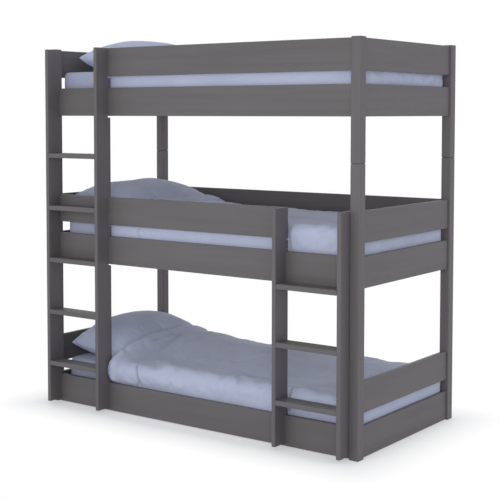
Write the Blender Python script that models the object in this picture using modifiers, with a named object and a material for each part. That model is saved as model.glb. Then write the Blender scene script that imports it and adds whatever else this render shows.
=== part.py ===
"""Triple bunk bed in painted timber: three single beds stacked on four corner posts, two fixed ladders, bedding.

Units are metres and +Z is up. The beds lie along X with their pillows towards -X, the ladders stand at the front,
towards -Y, and the origin is on the floor under the middle of the whole object.
"""

import math

import bmesh
import bpy
from mathutils import Vector

# Corner posts
FRAME_LENGTH = 1.990
FRAME_DEPTH = 0.975
POST_SIDE = 0.052
POST_EDGE_ROUND = 0.004
POST_TOP_RISE = 0.005
POST_SEAM_RISE = 0.218

# Steel dowels that locate the upper post sections on the lower ones
DOWEL_RADIUS = 0.006
DOWEL_LENGTH = 0.080
DOWEL_CLEARANCE = 0.0003
DOWEL_SEGMENTS = 16
DOWEL_EDGE_ANGLE = math.radians(40)

# Side rails, guard rails and end boards
BOARD_HEIGHT = 0.150
BOARD_THICKNESS = 0.021
BOARD_GAP = 0.061
BOARD_SETBACK = 0.010
BOARD_EDGE_ROUND = 0.003
EDGE_SEGMENTS = 2
FLOOR_GAP = 0.004
BED_SPACING = 0.795
BEDS = ("bottom", "middle", "top")
SEAT_GAP = 0.0003

# Ladders
LADDER_WIDTH = 0.381
STILE_THICKNESS = 0.021
STILE_REACH = 0.0785
STILE_FOOT_GAP = 0.016
STILE_EDGE_ROUND = 0.003
NOTCH_DROP = 0.009
TREAD_THICKNESS = 0.025
TREAD_EDGE_ROUND = 0.003
FIRST_TREAD_HEIGHT = 0.219
TALL_LADDER_RISE = 0.2865
TALL_LADDER_TREADS = 5
SHORT_LADDER_RISE = 0.279
SHORT_LADDER_TREADS = 3

# Slatted bases
LEDGE_HEIGHT = 0.030
LEDGE_WIDTH = 0.026
LEDGE_RISE = 0.022
SLAT_COUNT = 14
SLAT_WIDTH = 0.070
SLAT_THICKNESS = 0.018
SLAT_END_CLEARANCE = 0.001
TAPE_WIDTH = 0.025
TAPE_THICKNESS = 0.003
GLUE_OVERLAP = 0.001
TAPE_INSET = 0.160

# Mattresses
MATTRESS_THICKNESS = 0.170
MATTRESS_SIDE_CLEARANCE = 0.0165
MATTRESS_END_PLAY = 0.068
MATTRESS_HEAD_CLEARANCE = {"bottom": 0.052, "middle": 0.049, "top": 0.018}
MATTRESS_CORNER_ROUND = 0.050
MATTRESS_CORNER_SEGMENTS = 4
MATTRESS_CORNER_PROFILE = 0.5
MATTRESS_EDGE_ROUND = 0.026
MATTRESS_EDGE_SEGMENTS = 3
MATTRESS_EDGE_ANGLE = math.radians(60)

# Pillows
PILLOW_SIDE_CLEARANCE = {"bottom": 0.080, "middle": 0.065, "top": 0.080}
PILLOW_DEPTH = {"bottom": 0.420, "middle": 0.460, "top": 0.460}
PILLOW_HEAD_SEAM_RISE = {"bottom": 0.070, "middle": 0.094, "top": 0.080}
PILLOW_FOOT_SEAM_RISE = 0.032
PILLOW_UNDERSIDE_SHARE = 1.35
PILLOW_DRAWN_IN_SHARE = 0.07
PILLOW_SEGMENTS_ALONG = 12
PILLOW_SEGMENTS_ACROSS = 10
PILLOW_HEAD_CLEARANCE = {"bottom": 0.030, "middle": 0.026, "top": 0.050}
PILLOW_REARWARD_SHIFT = {"bottom": -0.025, "middle": 0.020, "top": 0.030}
PILLOW_CROWN = {"bottom": 0.206, "middle": 0.169, "top": 0.182}

# Duvets
DUVET_HEAD_EDGE = {"bottom": 0.440, "middle": 0.485, "top": 0.490}
DUVET_HEAD_BOW = 0.025
DUVET_LOFT = {"bottom": 0.028, "middle": 0.037, "top": 0.044}
DUVET_PRESSED_LOFT = 0.010
DUVET_HEAD_PUFF = {"bottom": 0.022, "middle": 0.030, "top": 0.016}
DUVET_HEAD_PUFF_RUN = 0.200
DUVET_HEAD_PUFF_FADE_RUN = 0.220
DUVET_BODY_PUFF = {"bottom": 0.049, "middle": 0.003, "top": 0.004}
DUVET_BODY_PUFF_RUN = 0.700
DUVET_BODY_PUFF_FADE_RUN = 0.400
DUVET_COVER_SHARE = 0.97
DUVET_GROWTH_SHARE = 1.6
DUVET_SIDE_THICKNESS = 0.011
DUVET_CLEARANCE = 0.0015
DUVET_PILLOW_CLEARANCE = 0.006
DUVET_RAIL_CLEARANCE = 0.004
DUVET_SIDE_DROP = 0.103
DUVET_ROLL = 0.012
DUVET_FALL_RUN = 0.090
DUVET_TURN_BACK = 0.170
DUVET_TURN_BACK_STEP = 0.009
DUVET_TURN_BACK_RUN = 0.050
DUVET_TOP_SEGMENTS_ALONG = 14
DUVET_TOP_SEGMENTS_ACROSS = 9
DUVET_FLAT_SEGMENTS = 1
DUVET_ARC_SEGMENTS = 3
DUVET_SKIRT_SEGMENTS = 2
DUVET_ROLL_CUTS = 1
FOLD_HEIGHT = 0.006
FOLD_LENGTHS = (0.62, 0.41, 0.29)
FOLD_HEIGHT_SHARES = (0.5, 0.3, 0.2)
FOLD_SLANT_SHARES = (0.35, -0.8, 1.3)
FOLD_PHASE_SHARES = {"bottom": (0.10, 0.45, 0.80), "middle": (0.35, 0.05, 0.60), "top": (0.70, 0.25, 0.15)}

# Sewing of the mesh edges
MERGE_DISTANCE = 0.00003

# Finishes
PAINT_COLOUR = (0.135, 0.130, 0.135)
PAINT_ROUGHNESS = 0.55
STEEL_COLOUR = (0.62, 0.62, 0.63)
STEEL_ROUGHNESS = 0.35
STEEL_METAL_SHARE = 1.0
TIMBER_COLOUR = (0.68, 0.52, 0.34)
TIMBER_ROUGHNESS = 0.6
LINEN_COLOUR = (0.36, 0.40, 0.53)
LINEN_ROUGHNESS = 0.9

# Places worked out from the sizes
LEFT = -FRAME_LENGTH / 2
RIGHT = FRAME_LENGTH / 2
POST_FRONT = (STILE_REACH - FRAME_DEPTH) / 2
POST_REAR = POST_FRONT + FRAME_DEPTH
STILE_FRONT = POST_FRONT - STILE_REACH
FRONT_BOARD_FACE = POST_FRONT + BOARD_SETBACK
FRONT_BOARD_BACK = FRONT_BOARD_FACE + BOARD_THICKNESS
REAR_BOARD_FACE = POST_REAR - BOARD_SETBACK
REAR_BOARD_BACK = REAR_BOARD_FACE - BOARD_THICKNESS
HEAD_BOARD_FACE = LEFT + BOARD_SETBACK
HEAD_BOARD_BACK = HEAD_BOARD_FACE + BOARD_THICKNESS
FOOT_BOARD_FACE = RIGHT - BOARD_SETBACK
FOOT_BOARD_BACK = FOOT_BOARD_FACE - BOARD_THICKNESS
GUARD_RISE = BOARD_HEIGHT + BOARD_GAP
STACK_HEIGHT = GUARD_RISE + BOARD_HEIGHT
RAIL_BOTTOM = {bed: FLOOR_GAP + level * BED_SPACING for level, bed in enumerate(BEDS)}
GUARD_TOP = {bed: bottom + STACK_HEIGHT for bed, bottom in RAIL_BOTTOM.items()}
FRAME_HEIGHT = GUARD_TOP["top"] + POST_TOP_RISE
POST_SEAM = GUARD_TOP["middle"] + POST_SEAM_RISE
SLAT_BOTTOM_RISE = LEDGE_RISE + LEDGE_HEIGHT + SEAT_GAP
SLAT_TOP_RISE = SLAT_BOTTOM_RISE + SLAT_THICKNESS
MATTRESS_TOP_RISE = SLAT_TOP_RISE + SEAT_GAP + MATTRESS_THICKNESS
MATTRESS_LENGTH = FOOT_BOARD_BACK - HEAD_BOARD_BACK - MATTRESS_END_PLAY
MATTRESS_WIDTH = REAR_BOARD_BACK - FRONT_BOARD_BACK - MATTRESS_SIDE_CLEARANCE - MATTRESS_SIDE_CLEARANCE
MATTRESS_HEAD = {bed: HEAD_BOARD_BACK + gap for bed, gap in MATTRESS_HEAD_CLEARANCE.items()}
MATTRESS_FOOT = {bed: head + MATTRESS_LENGTH for bed, head in MATTRESS_HEAD.items()}
BED_MIDDLE = (POST_FRONT + POST_REAR) / 2
DUVET_WRAP_SEGMENTS = DUVET_FLAT_SEGMENTS + DUVET_ARC_SEGMENTS + DUVET_SKIRT_SEGMENTS
TALL_LADDER_LEFT = LEFT + POST_SIDE + SEAT_GAP
TALL_LADDER_RIGHT = TALL_LADDER_LEFT + LADDER_WIDTH
SHORT_LADDER_RIGHT = RIGHT - POST_SIDE - SEAT_GAP
SHORT_LADDER_LEFT = SHORT_LADDER_RIGHT - LADDER_WIDTH


def clear_scene():
    """Removes whatever the scene holds."""
    for obj in list(bpy.data.objects):
        bpy.data.objects.remove(obj, do_unlink=True)


def principled(name, colour, roughness, metallic=0.0):
    """A plain material of one colour."""
    material = bpy.data.materials.new(name)
    material.use_nodes = True
    shader = material.node_tree.nodes["Principled BSDF"]
    shader.inputs["Base Color"].default_value = (*colour, 1.0)
    shader.inputs["Roughness"].default_value = roughness
    shader.inputs["Metallic"].default_value = metallic
    material.diffuse_color = (*colour, 1.0)
    return material


def new_collection(name):
    """A collection linked under the scene's own."""
    collection = bpy.data.collections.new(name)
    bpy.context.scene.collection.children.link(collection)
    return collection


def add_object(name, bm, collection, material, centre):
    """Turns a bmesh into an object whose origin is at centre."""
    mesh = bpy.data.meshes.new(name)
    bm.to_mesh(mesh)
    bm.free()
    mesh.materials.append(material)
    obj = bpy.data.objects.new(name, mesh)
    obj.location = centre
    collection.objects.link(obj)
    return obj


def add_bevel(obj, width, segments):
    """Rounds the sharp edges of an object."""
    bevel = obj.modifiers.new("edge_round", "BEVEL")
    bevel.width = width
    bevel.segments = segments
    bevel.limit_method = "ANGLE"
    bevel.use_clamp_overlap = True


def add_boolean(obj, other, operation):
    """Cuts another object from this one, or joins it on."""
    boolean = obj.modifiers.new(operation.lower(), "BOOLEAN")
    boolean.operation = operation
    boolean.solver = "EXACT"
    boolean.object = other


def as_tool(obj):
    """Keeps a cutter or a joined-on shape out of the finished part."""
    obj.hide_render = True
    obj.display_type = "WIRE"
    return obj


def box(name, low, high, collection, material, edge_round=0.0, segments=EDGE_SEGMENTS):
    """A box between two corners, with its edges rounded if edge_round is not zero."""
    low, high = Vector(low), Vector(high)
    bm = bmesh.new()
    bmesh.ops.create_cube(bm, size=1.0)
    bmesh.ops.scale(bm, vec=high - low, verts=bm.verts)
    obj = add_object(name, bm, collection, material, (low + high) / 2)
    if edge_round:
        add_bevel(obj, edge_round, segments)
    return obj


def cylinder(name, radius, bottom, top, place, collection, material):
    """An upright round bar or cutter between two heights."""
    bm = bmesh.new()
    bmesh.ops.create_cone(
        bm, cap_ends=True, segments=DOWEL_SEGMENTS, radius1=radius, radius2=radius, depth=top - bottom
    )
    obj = add_object(name, bm, collection, material, (place[0], place[1], (bottom + top) / 2))
    obj.data.shade_smooth()
    obj.data.set_sharp_from_angle(angle=DOWEL_EDGE_ANGLE)
    return obj


def build_posts(parts, tools, paint, steel):
    """Four corner posts in two sections each, with a steel dowel in every joint."""
    corners = {
        "front_left": (LEFT, POST_FRONT),
        "front_right": (RIGHT - POST_SIDE, POST_FRONT),
        "rear_left": (LEFT, POST_REAR - POST_SIDE),
        "rear_right": (RIGHT - POST_SIDE, POST_REAR - POST_SIDE),
    }
    upper_foot = POST_SEAM + SEAT_GAP
    half = DOWEL_LENGTH / 2
    for corner, (x, y) in corners.items():
        sections = {"lower": (0.0, POST_SEAM), "upper": (upper_foot, FRAME_HEIGHT)}
        axis = (x + POST_SIDE / 2, y + POST_SIDE / 2)
        bore = cylinder(
            f"dowel_bore_{corner}",
            DOWEL_RADIUS + DOWEL_CLEARANCE,
            POST_SEAM - half - DOWEL_CLEARANCE,
            POST_SEAM + half + DOWEL_CLEARANCE,
            axis,
            tools,
            steel,
        )
        as_tool(bore)
        for section, (bottom, top) in sections.items():
            post = box(
                f"{section}_post_{corner}",
                (x, y, bottom),
                (x + POST_SIDE, y + POST_SIDE, top),
                parts,
                paint,
                POST_EDGE_ROUND,
            )
            add_boolean(post, bore, "DIFFERENCE")
        cylinder(f"post_dowel_{corner}", DOWEL_RADIUS, POST_SEAM - half, POST_SEAM + half, axis, parts, steel)


def add_ledge(rail, name, low, high, tools, paint):
    """Joins the batten that carries the slats to the inner face of a side rail."""
    add_boolean(rail, as_tool(box(name, low, high, tools, paint)), "UNION")
    rail.modifiers.move(len(rail.modifiers) - 1, 0)


def side_boards(bed):
    """Each lengthwise board of a bed: its name, its ends along X, its outer side and its rise over the rails' foot."""
    left = LEFT + POST_SIDE + SEAT_GAP
    right = RIGHT - POST_SIDE - SEAT_GAP
    boards = [("front_side_rail", left, right, "front", 0.0), ("rear_side_rail", left, right, "rear", 0.0)]
    if bed == "middle":
        boards.append(("front_guard_rail", left, SHORT_LADDER_LEFT + STILE_THICKNESS, "front", GUARD_RISE))
    if bed == "top":
        boards.append(("front_guard_rail", TALL_LADDER_RIGHT - STILE_THICKNESS, right, "front", GUARD_RISE))
    if bed != "bottom":
        boards.append(("rear_guard_rail", left, right, "rear", GUARD_RISE))
    return boards


def build_boards(parts, tools, paint):
    """The side rails with their slat ledges, the guard rails and the end boards of the three beds."""
    faces = {"front": (FRONT_BOARD_FACE, FRONT_BOARD_BACK), "rear": (REAR_BOARD_BACK, REAR_BOARD_FACE)}
    for bed in BEDS:
        foot = RAIL_BOTTOM[bed]
        for name, left, right, side, rise in side_boards(bed):
            near, far = faces[side]
            bottom = foot + rise
            rail = box(
                f"{bed}_{name}",
                (left, near, bottom),
                (right, far, bottom + BOARD_HEIGHT),
                parts,
                paint,
                BOARD_EDGE_ROUND,
            )
            if rise:
                continue
            ledge_near = FRONT_BOARD_BACK - GLUE_OVERLAP if side == "front" else REAR_BOARD_BACK - LEDGE_WIDTH
            ledge_far = FRONT_BOARD_BACK + LEDGE_WIDTH if side == "front" else REAR_BOARD_BACK + GLUE_OVERLAP
            add_ledge(
                rail,
                f"{bed}_{side}_ledge",
                (left, ledge_near, foot + LEDGE_RISE),
                (right, ledge_far, foot + LEDGE_RISE + LEDGE_HEIGHT),
                tools,
                paint,
            )
        for end, near, far in (
            ("head", HEAD_BOARD_FACE, HEAD_BOARD_BACK),
            ("foot", FOOT_BOARD_BACK, FOOT_BOARD_FACE),
        ):
            for level, rise in (("lower", 0.0), ("upper", GUARD_RISE)):
                box(
                    f"{bed}_{end}_{level}_board",
                    (near, POST_FRONT + POST_SIDE + SEAT_GAP, foot + rise),
                    (far, POST_REAR - POST_SIDE - SEAT_GAP, foot + rise + BOARD_HEIGHT),
                    parts,
                    paint,
                    BOARD_EDGE_ROUND,
                )


def build_stile(name, left, top, crossings, parts, tools, paint):
    """A ladder's upright plank, notched at the back round each board that passes behind it."""
    right = left + STILE_THICKNESS
    stile = box(
        name,
        (left, STILE_FRONT, STILE_FOOT_GAP),
        (right, FRONT_BOARD_BACK, top),
        parts,
        paint,
        STILE_EDGE_ROUND,
    )
    for number, bottom in enumerate(crossings):
        notch_top = bottom + BOARD_HEIGHT + SEAT_GAP
        if notch_top >= top:
            notch_top = top + STILE_THICKNESS
        notch = box(
            f"{name}_notch_{number}",
            (left - STILE_THICKNESS, FRONT_BOARD_FACE - SEAT_GAP, bottom - NOTCH_DROP),
            (right + STILE_THICKNESS, FRONT_BOARD_BACK + STILE_THICKNESS, notch_top),
            tools,
            paint,
        )
        add_boolean(stile, as_tool(notch), "DIFFERENCE")


def build_ladder(name, left, right, top, crossings, rise, treads, parts, tools, paint):
    """A fixed ladder: two notched stiles and flat treads between them."""
    build_stile(f"{name}_left_stile", left, top, crossings["left"], parts, tools, paint)
    build_stile(f"{name}_right_stile", right - STILE_THICKNESS, top, crossings["right"], parts, tools, paint)
    for number in range(treads):
        bottom = FIRST_TREAD_HEIGHT + number * rise
        box(
            f"{name}_tread_{number + 1}",
            (left + STILE_THICKNESS + SEAT_GAP, STILE_FRONT, bottom),
            (right - STILE_THICKNESS - SEAT_GAP, FRONT_BOARD_FACE - SEAT_GAP, bottom + TREAD_THICKNESS),
            parts,
            paint,
            TREAD_EDGE_ROUND,
        )


def build_ladders(parts, tools, paint):
    """The tall ladder to the top bed at the head, and the short ladder to the middle bed at the foot."""
    bottom_rail, middle_rail, top_rail = (RAIL_BOTTOM[bed] for bed in BEDS)
    middle_guard, top_guard = middle_rail + GUARD_RISE, top_rail + GUARD_RISE
    tall_left = [bottom_rail, middle_rail, middle_guard, top_rail]
    build_ladder(
        "tall_ladder",
        TALL_LADDER_LEFT,
        TALL_LADDER_RIGHT,
        GUARD_TOP["top"],
        {"left": tall_left, "right": [*tall_left, top_guard]},
        TALL_LADDER_RISE,
        TALL_LADDER_TREADS,
        parts,
        tools,
        paint,
    )
    build_ladder(
        "short_ladder",
        SHORT_LADDER_LEFT,
        SHORT_LADDER_RIGHT,
        GUARD_TOP["middle"],
        {"left": [bottom_rail, middle_rail, middle_guard], "right": [bottom_rail, middle_rail]},
        SHORT_LADDER_RISE,
        SHORT_LADDER_TREADS,
        parts,
        tools,
        paint,
    )


def build_slats(parts, tools, timber):
    """A roll of slats for each bed, held together by two webbing tapes and laid on the side rails' ledges."""
    near = FRONT_BOARD_BACK + SLAT_END_CLEARANCE
    far = REAR_BOARD_BACK - SLAT_END_CLEARANCE
    first = LEFT + POST_SIDE + SLAT_END_CLEARANCE
    last = RIGHT - POST_SIDE - SLAT_END_CLEARANCE - SLAT_WIDTH
    pitch = (last - first) / (SLAT_COUNT - 1)
    for bed in BEDS:
        bottom = RAIL_BOTTOM[bed] + SLAT_BOTTOM_RISE
        top = bottom + SLAT_THICKNESS
        tapes = {"front": near + TAPE_INSET, "rear": far - TAPE_INSET - TAPE_WIDTH}
        roll = box(
            f"{bed}_slat_roll",
            (first, tapes["front"], bottom - TAPE_THICKNESS + GLUE_OVERLAP),
            (last + SLAT_WIDTH, tapes["front"] + TAPE_WIDTH, bottom + GLUE_OVERLAP),
            parts,
            timber,
        )
        rear_tape = box(
            f"{bed}_rear_tape",
            (first, tapes["rear"], bottom - TAPE_THICKNESS + GLUE_OVERLAP),
            (last + SLAT_WIDTH, tapes["rear"] + TAPE_WIDTH, bottom + GLUE_OVERLAP),
            tools,
            timber,
        )
        slat = box(
            f"{bed}_slat",
            (first, near, bottom),
            (first + SLAT_WIDTH, far, top),
            tools,
            timber,
        )
        array = slat.modifiers.new("slats", "ARRAY")
        array.count = SLAT_COUNT
        array.use_relative_offset = False
        array.use_constant_offset = True
        array.constant_offset_displace = (pitch, 0.0, 0.0)
        add_boolean(slat, as_tool(rear_tape), "UNION")
        add_boolean(roll, as_tool(slat), "UNION")


def build_mattress(bed, parts, cover):
    """A mattress with rounded corners, resting on its slats."""
    bottom = RAIL_BOTTOM[bed] + SLAT_TOP_RISE + SEAT_GAP
    size = Vector((MATTRESS_LENGTH, MATTRESS_WIDTH, MATTRESS_THICKNESS))
    bm = bmesh.new()
    bmesh.ops.create_cube(bm, size=1.0)
    bmesh.ops.scale(bm, vec=size, verts=bm.verts)
    uprights = [e for e in bm.edges if abs(e.verts[0].co.z - e.verts[1].co.z) > size.z / 2]
    bmesh.ops.bevel(
        bm,
        geom=uprights,
        offset=MATTRESS_CORNER_ROUND,
        segments=MATTRESS_CORNER_SEGMENTS,
        profile=MATTRESS_CORNER_PROFILE,
        affect="EDGES",
    )
    bmesh.ops.translate(bm, vec=(0.0, 0.0, size.z / 2), verts=bm.verts)
    centre = (MATTRESS_HEAD[bed] + size.x / 2, BED_MIDDLE, bottom)
    mattress = add_object(f"{bed}_mattress", bm, parts, cover, centre)
    add_bevel(mattress, MATTRESS_EDGE_ROUND, MATTRESS_EDGE_SEGMENTS)
    mattress.modifiers["edge_round"].angle_limit = MATTRESS_EDGE_ANGLE
    return mattress


def fading(share):
    """A smooth fall from 1 to 0 as share goes from 0 to 1."""
    share = max(0.0, min(1.0, share))
    return 1.0 - share * share * (3.0 - 2.0 * share)


class PillowShape:
    """The outer form of one bed's pillow: a crowned top and a belly that the mattress flattens."""

    def __init__(self, bed):
        self.half_depth = PILLOW_DEPTH[bed] / 2
        self.half_length = MATTRESS_WIDTH / 2 - PILLOW_SIDE_CLEARANCE[bed]
        self.rest = RAIL_BOTTOM[bed] + MATTRESS_TOP_RISE
        self.head_seam = self.rest + PILLOW_HEAD_SEAM_RISE[bed]
        self.foot_seam = self.rest + PILLOW_FOOT_SEAM_RISE
        self.crown = PILLOW_CROWN[bed] - (PILLOW_HEAD_SEAM_RISE[bed] + PILLOW_FOOT_SEAM_RISE) / 2
        self.belly = PILLOW_HEAD_SEAM_RISE[bed] * PILLOW_UNDERSIDE_SHARE
        self.x = HEAD_BOARD_BACK + PILLOW_HEAD_CLEARANCE[bed] + self.half_depth
        self.y = BED_MIDDLE + PILLOW_REARWARD_SHIFT[bed]

    def place(self, u, v):
        """The plan position of the unit coordinates u, across the pillow, and v, along it."""
        drawn_x = 1.0 - PILLOW_DRAWN_IN_SHARE * (1.0 - v * v) * u * u
        drawn_y = 1.0 - PILLOW_DRAWN_IN_SHARE * (1.0 - u * u) * v * v
        return self.x + self.half_depth * u * drawn_x, self.y + self.half_length * v * drawn_y

    def fullness(self, u, v):
        """How full the pillow is at a place: 1 in the middle and 0 at its seam."""
        return math.sqrt(max(0.0, (1.0 - u * u) * (1.0 - v * v)))

    def seam(self, u):
        """The height of the seam, which is propped up at the head board."""
        share = (1.0 + u) / 2.0
        return self.head_seam + (self.foot_seam - self.head_seam) * share

    def top(self, u, v):
        """The height of the upper face."""
        return self.seam(u) + self.crown * self.fullness(u, v)

    def underside(self, u, v):
        """The height of the lower face, flat where it rests on the mattress."""
        return max(self.rest + SEAT_GAP, self.seam(u) - self.belly * self.fullness(u, v))

    def cover_height(self, x, y):
        """The height that a cloth lying over the pillow must clear, falling away softly past its edges."""
        u = DUVET_COVER_SHARE * max(-1.0, min(1.0, (x - self.x) / self.half_depth))
        v = DUVET_COVER_SHARE * max(-1.0, min(1.0, (y - self.y) / self.half_length))
        beyond = math.hypot(
            max(0.0, abs(x - self.x) - self.half_depth), max(0.0, abs(y - self.y) - self.half_length)
        )
        height = self.top(u, v) + DUVET_PILLOW_CLEARANCE
        return self.rest + (height - self.rest) * fading(beyond / DUVET_FALL_RUN)


def shaped_grid(bm, cells_x, cells_y, shape):
    """Adds a grid whose unit coordinates from -1 to 1 are turned into places by a function."""
    made = bmesh.ops.create_grid(bm, x_segments=cells_x, y_segments=cells_y, size=1.0)["verts"]
    for vert in made:
        vert.co = shape(vert.co.x, vert.co.y)
    return made


def face_outwards(bm):
    """Turns all the faces of a closed body outwards."""
    bmesh.ops.recalc_face_normals(bm, faces=bm.faces)
    if bm.calc_volume(signed=True) < 0.0:
        bmesh.ops.reverse_faces(bm, faces=bm.faces)


def build_pillow(shape, name, parts, cover):
    """A plump pillow from two shaped grids sewn along their edge."""
    origin = Vector((shape.x, shape.y, shape.rest))
    bm = bmesh.new()
    shaped_grid(
        bm,
        PILLOW_SEGMENTS_ACROSS,
        PILLOW_SEGMENTS_ALONG,
        lambda u, v: Vector((*shape.place(u, v), shape.top(u, v))) - origin,
    )
    shaped_grid(
        bm,
        PILLOW_SEGMENTS_ACROSS,
        PILLOW_SEGMENTS_ALONG,
        lambda u, v: Vector((*shape.place(u, v), shape.underside(u, v))) - origin,
    )
    edge = [v for v in bm.verts if v.is_boundary]
    bmesh.ops.remove_doubles(bm, verts=edge, dist=MERGE_DISTANCE)
    face_outwards(bm)
    pillow = add_object(name, bm, parts, cover, origin)
    pillow.data.shade_smooth()
    return pillow


class DuvetShape:
    """The form of one bed's duvet: laid over the mattress and the pillow's end, tucked down at three sides."""

    def __init__(self, bed, pillow):
        self.pillow = pillow
        self.bed = bed
        self.rest = RAIL_BOTTOM[bed] + MATTRESS_TOP_RISE
        self.shoulder = self.rest - MATTRESS_EDGE_ROUND
        self.tuck = RAIL_BOTTOM[bed] + BOARD_HEIGHT + DUVET_RAIL_CLEARANCE
        self.hem = self.rest - DUVET_SIDE_DROP
        half_width = MATTRESS_WIDTH / 2
        self.head = LEFT + DUVET_HEAD_EDGE[bed]
        self.foot_core = MATTRESS_FOOT[bed] - MATTRESS_CORNER_ROUND
        self.front_core = BED_MIDDLE - half_width + MATTRESS_CORNER_ROUND
        self.rear_core = BED_MIDDLE + half_width - MATTRESS_CORNER_ROUND

    def folds(self, x, y):
        """Long soft folds that run slantwise over the top."""
        total = 0.0
        for length, share, slant, phase in zip(
            FOLD_LENGTHS, FOLD_HEIGHT_SHARES, FOLD_SLANT_SHARES, FOLD_PHASE_SHARES[self.bed]
        ):
            total += share * math.sin(math.tau * ((x + slant * y) / length + phase))
        return FOLD_HEIGHT * total

    def turn_back(self, x):
        """The extra thickness of the turned-back end."""
        return DUVET_TURN_BACK_STEP * fading((x - self.head - DUVET_TURN_BACK) / DUVET_TURN_BACK_RUN)

    def puff(self, x, y):
        """The extra height where the filling is heaped up along the middle of the bed."""
        across = (y - BED_MIDDLE) / (self.rear_core - BED_MIDDLE)
        past = x - self.head
        head = DUVET_HEAD_PUFF[self.bed] * fading((past - DUVET_HEAD_PUFF_RUN) / DUVET_HEAD_PUFF_FADE_RUN)
        body = DUVET_BODY_PUFF[self.bed] * fading((past - DUVET_BODY_PUFF_RUN) / DUVET_BODY_PUFF_FADE_RUN)
        return (head + body) * (1.0 - across * across)

    def lower(self, x, y):
        """The height of the underside over a place of the mattress."""
        return max(self.rest, self.pillow.cover_height(x, y)) + DUVET_CLEARANCE

    def upper(self, x, y):
        """The height of the outer face: the filling pressed thin on the pillow, and heaped up beside it."""
        pressed = self.lower(x, y) - self.rest + DUVET_PRESSED_LOFT
        heaped = DUVET_LOFT[self.bed] + self.puff(x, y)
        joined = math.hypot(pressed * pressed, heaped * heaped) ** 0.5
        return self.rest + joined + self.turn_back(x) + self.folds(x, y)

    def station(self, share, core_low, core_high, cells_low, cells_top, cells_high, growth=1.0):
        """The place along one direction: the core coordinate, and how far past the core in wrap units."""
        cells = cells_low + cells_top + cells_high
        step = round((share + 1.0) / 2.0 * cells)
        inside = min(max(step - cells_low, 0), cells_top) / cells_top
        past = min(step - cells_low, 0) + max(step - cells_low - cells_top, 0)
        return core_low + inside**growth * (core_high - core_low), past

    def bow(self, x, y):
        """How far the head edge is pushed towards the foot by the pillow, less and less along the bed."""
        across = (y - BED_MIDDLE) / (self.rear_core - BED_MIDDLE)
        along = (self.foot_core - x) / (self.foot_core - self.head)
        return DUVET_HEAD_BOW * (1.0 - across * across) * along

    def wrapped(self, u, v, height, offset):
        """A point of the sheet: on the top, round the mattress's edge, or down its side."""
        along, across, wrap = DUVET_TOP_SEGMENTS_ALONG, DUVET_TOP_SEGMENTS_ACROSS, DUVET_WRAP_SEGMENTS
        x, past_x = self.station(u, self.head, self.foot_core, 0, along, wrap, DUVET_GROWTH_SHARE)
        y, past_y = self.station(v, self.front_core, self.rear_core, wrap, across, wrap)
        x += self.bow(x, y)
        top = height(x, y)
        past = max(abs(past_x), abs(past_y))
        if not past:
            return Vector((x, y, top))
        turned = max(0.0, min((past - DUVET_FLAT_SEGMENTS) / DUVET_ARC_SEGMENTS, 1.0)) * math.pi / 2
        flat = (MATTRESS_CORNER_ROUND - MATTRESS_EDGE_ROUND) * min(past / DUVET_FLAT_SEGMENTS, 1.0)
        level = self.shoulder + (top - self.shoulder) * math.cos(turned)
        below = max(0, past - DUVET_FLAT_SEGMENTS - DUVET_ARC_SEGMENTS)
        level = (level, self.tuck, self.hem)[below]
        reach = flat + (MATTRESS_EDGE_ROUND + offset) * math.sin(turned)
        away = Vector((past_x, past_y)).normalized() * reach
        return Vector((x + away.x, y + away.y, level))

    def outer(self, u, v):
        """A point of the outer face."""
        return self.wrapped(u, v, self.upper, DUVET_CLEARANCE + DUVET_SIDE_THICKNESS)

    def inner(self, u, v):
        """A point of the inner face."""
        return self.wrapped(u, v, self.lower, DUVET_CLEARANCE)


def build_duvet(shape, name, parts, cover):
    """A duvet from two shaped grids, bridged along their edge with a soft roll at the head end."""
    cells_x = DUVET_TOP_SEGMENTS_ALONG + DUVET_WRAP_SEGMENTS
    cells_y = DUVET_WRAP_SEGMENTS + DUVET_TOP_SEGMENTS_ACROSS + DUVET_WRAP_SEGMENTS
    origin = Vector((shape.head, BED_MIDDLE, shape.rest))
    bm = bmesh.new()
    shaped_grid(bm, cells_x, cells_y, lambda u, v: shape.outer(u, v) - origin)
    inner = shaped_grid(bm, cells_x, cells_y, lambda u, v: shape.inner(u, v) - origin)
    inner_faces = list({f for v in inner for f in v.link_faces})
    bmesh.ops.reverse_faces(bm, faces=inner_faces)
    rim = [e for e in bm.edges if e.is_boundary]
    strips = bmesh.ops.bridge_loops(bm, edges=rim)["faces"]
    head_edges = [
        e
        for f in strips
        for e in f.edges
        if e.calc_length() > DUVET_SIDE_THICKNESS / 2
        and all(abs(v.co.x) < SEAT_GAP for v in e.verts)
        and all(g in strips for g in e.link_faces)
    ]
    split = bmesh.ops.subdivide_edges(bm, edges=list(set(head_edges)), cuts=DUVET_ROLL_CUTS, use_grid_fill=True)
    for vert in (g for g in split["geom_inner"] if isinstance(g, bmesh.types.BMVert)):
        vert.co.x -= DUVET_ROLL
    face_outwards(bm)
    duvet = add_object(name, bm, parts, cover, origin)
    duvet.data.shade_smooth()
    return duvet


def keep_place(child, parent):
    """Parents an object without moving it."""
    bpy.context.view_layer.update()
    child.parent = parent
    child.matrix_parent_inverse = parent.matrix_world.inverted()


def build_bedding(parts, ticking, pillowcase, cover):
    """A mattress, a pillow and a duvet on each bed, the later ones lying on the earlier ones."""
    for bed in BEDS:
        mattress = build_mattress(bed, parts, ticking)
        pillow_shape = PillowShape(bed)
        pillow = build_pillow(pillow_shape, f"{bed}_pillow", parts, pillowcase)
        duvet = build_duvet(DuvetShape(bed, pillow_shape), f"{bed}_duvet", parts, cover)
        keep_place(pillow, mattress)
        keep_place(duvet, pillow)


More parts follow.
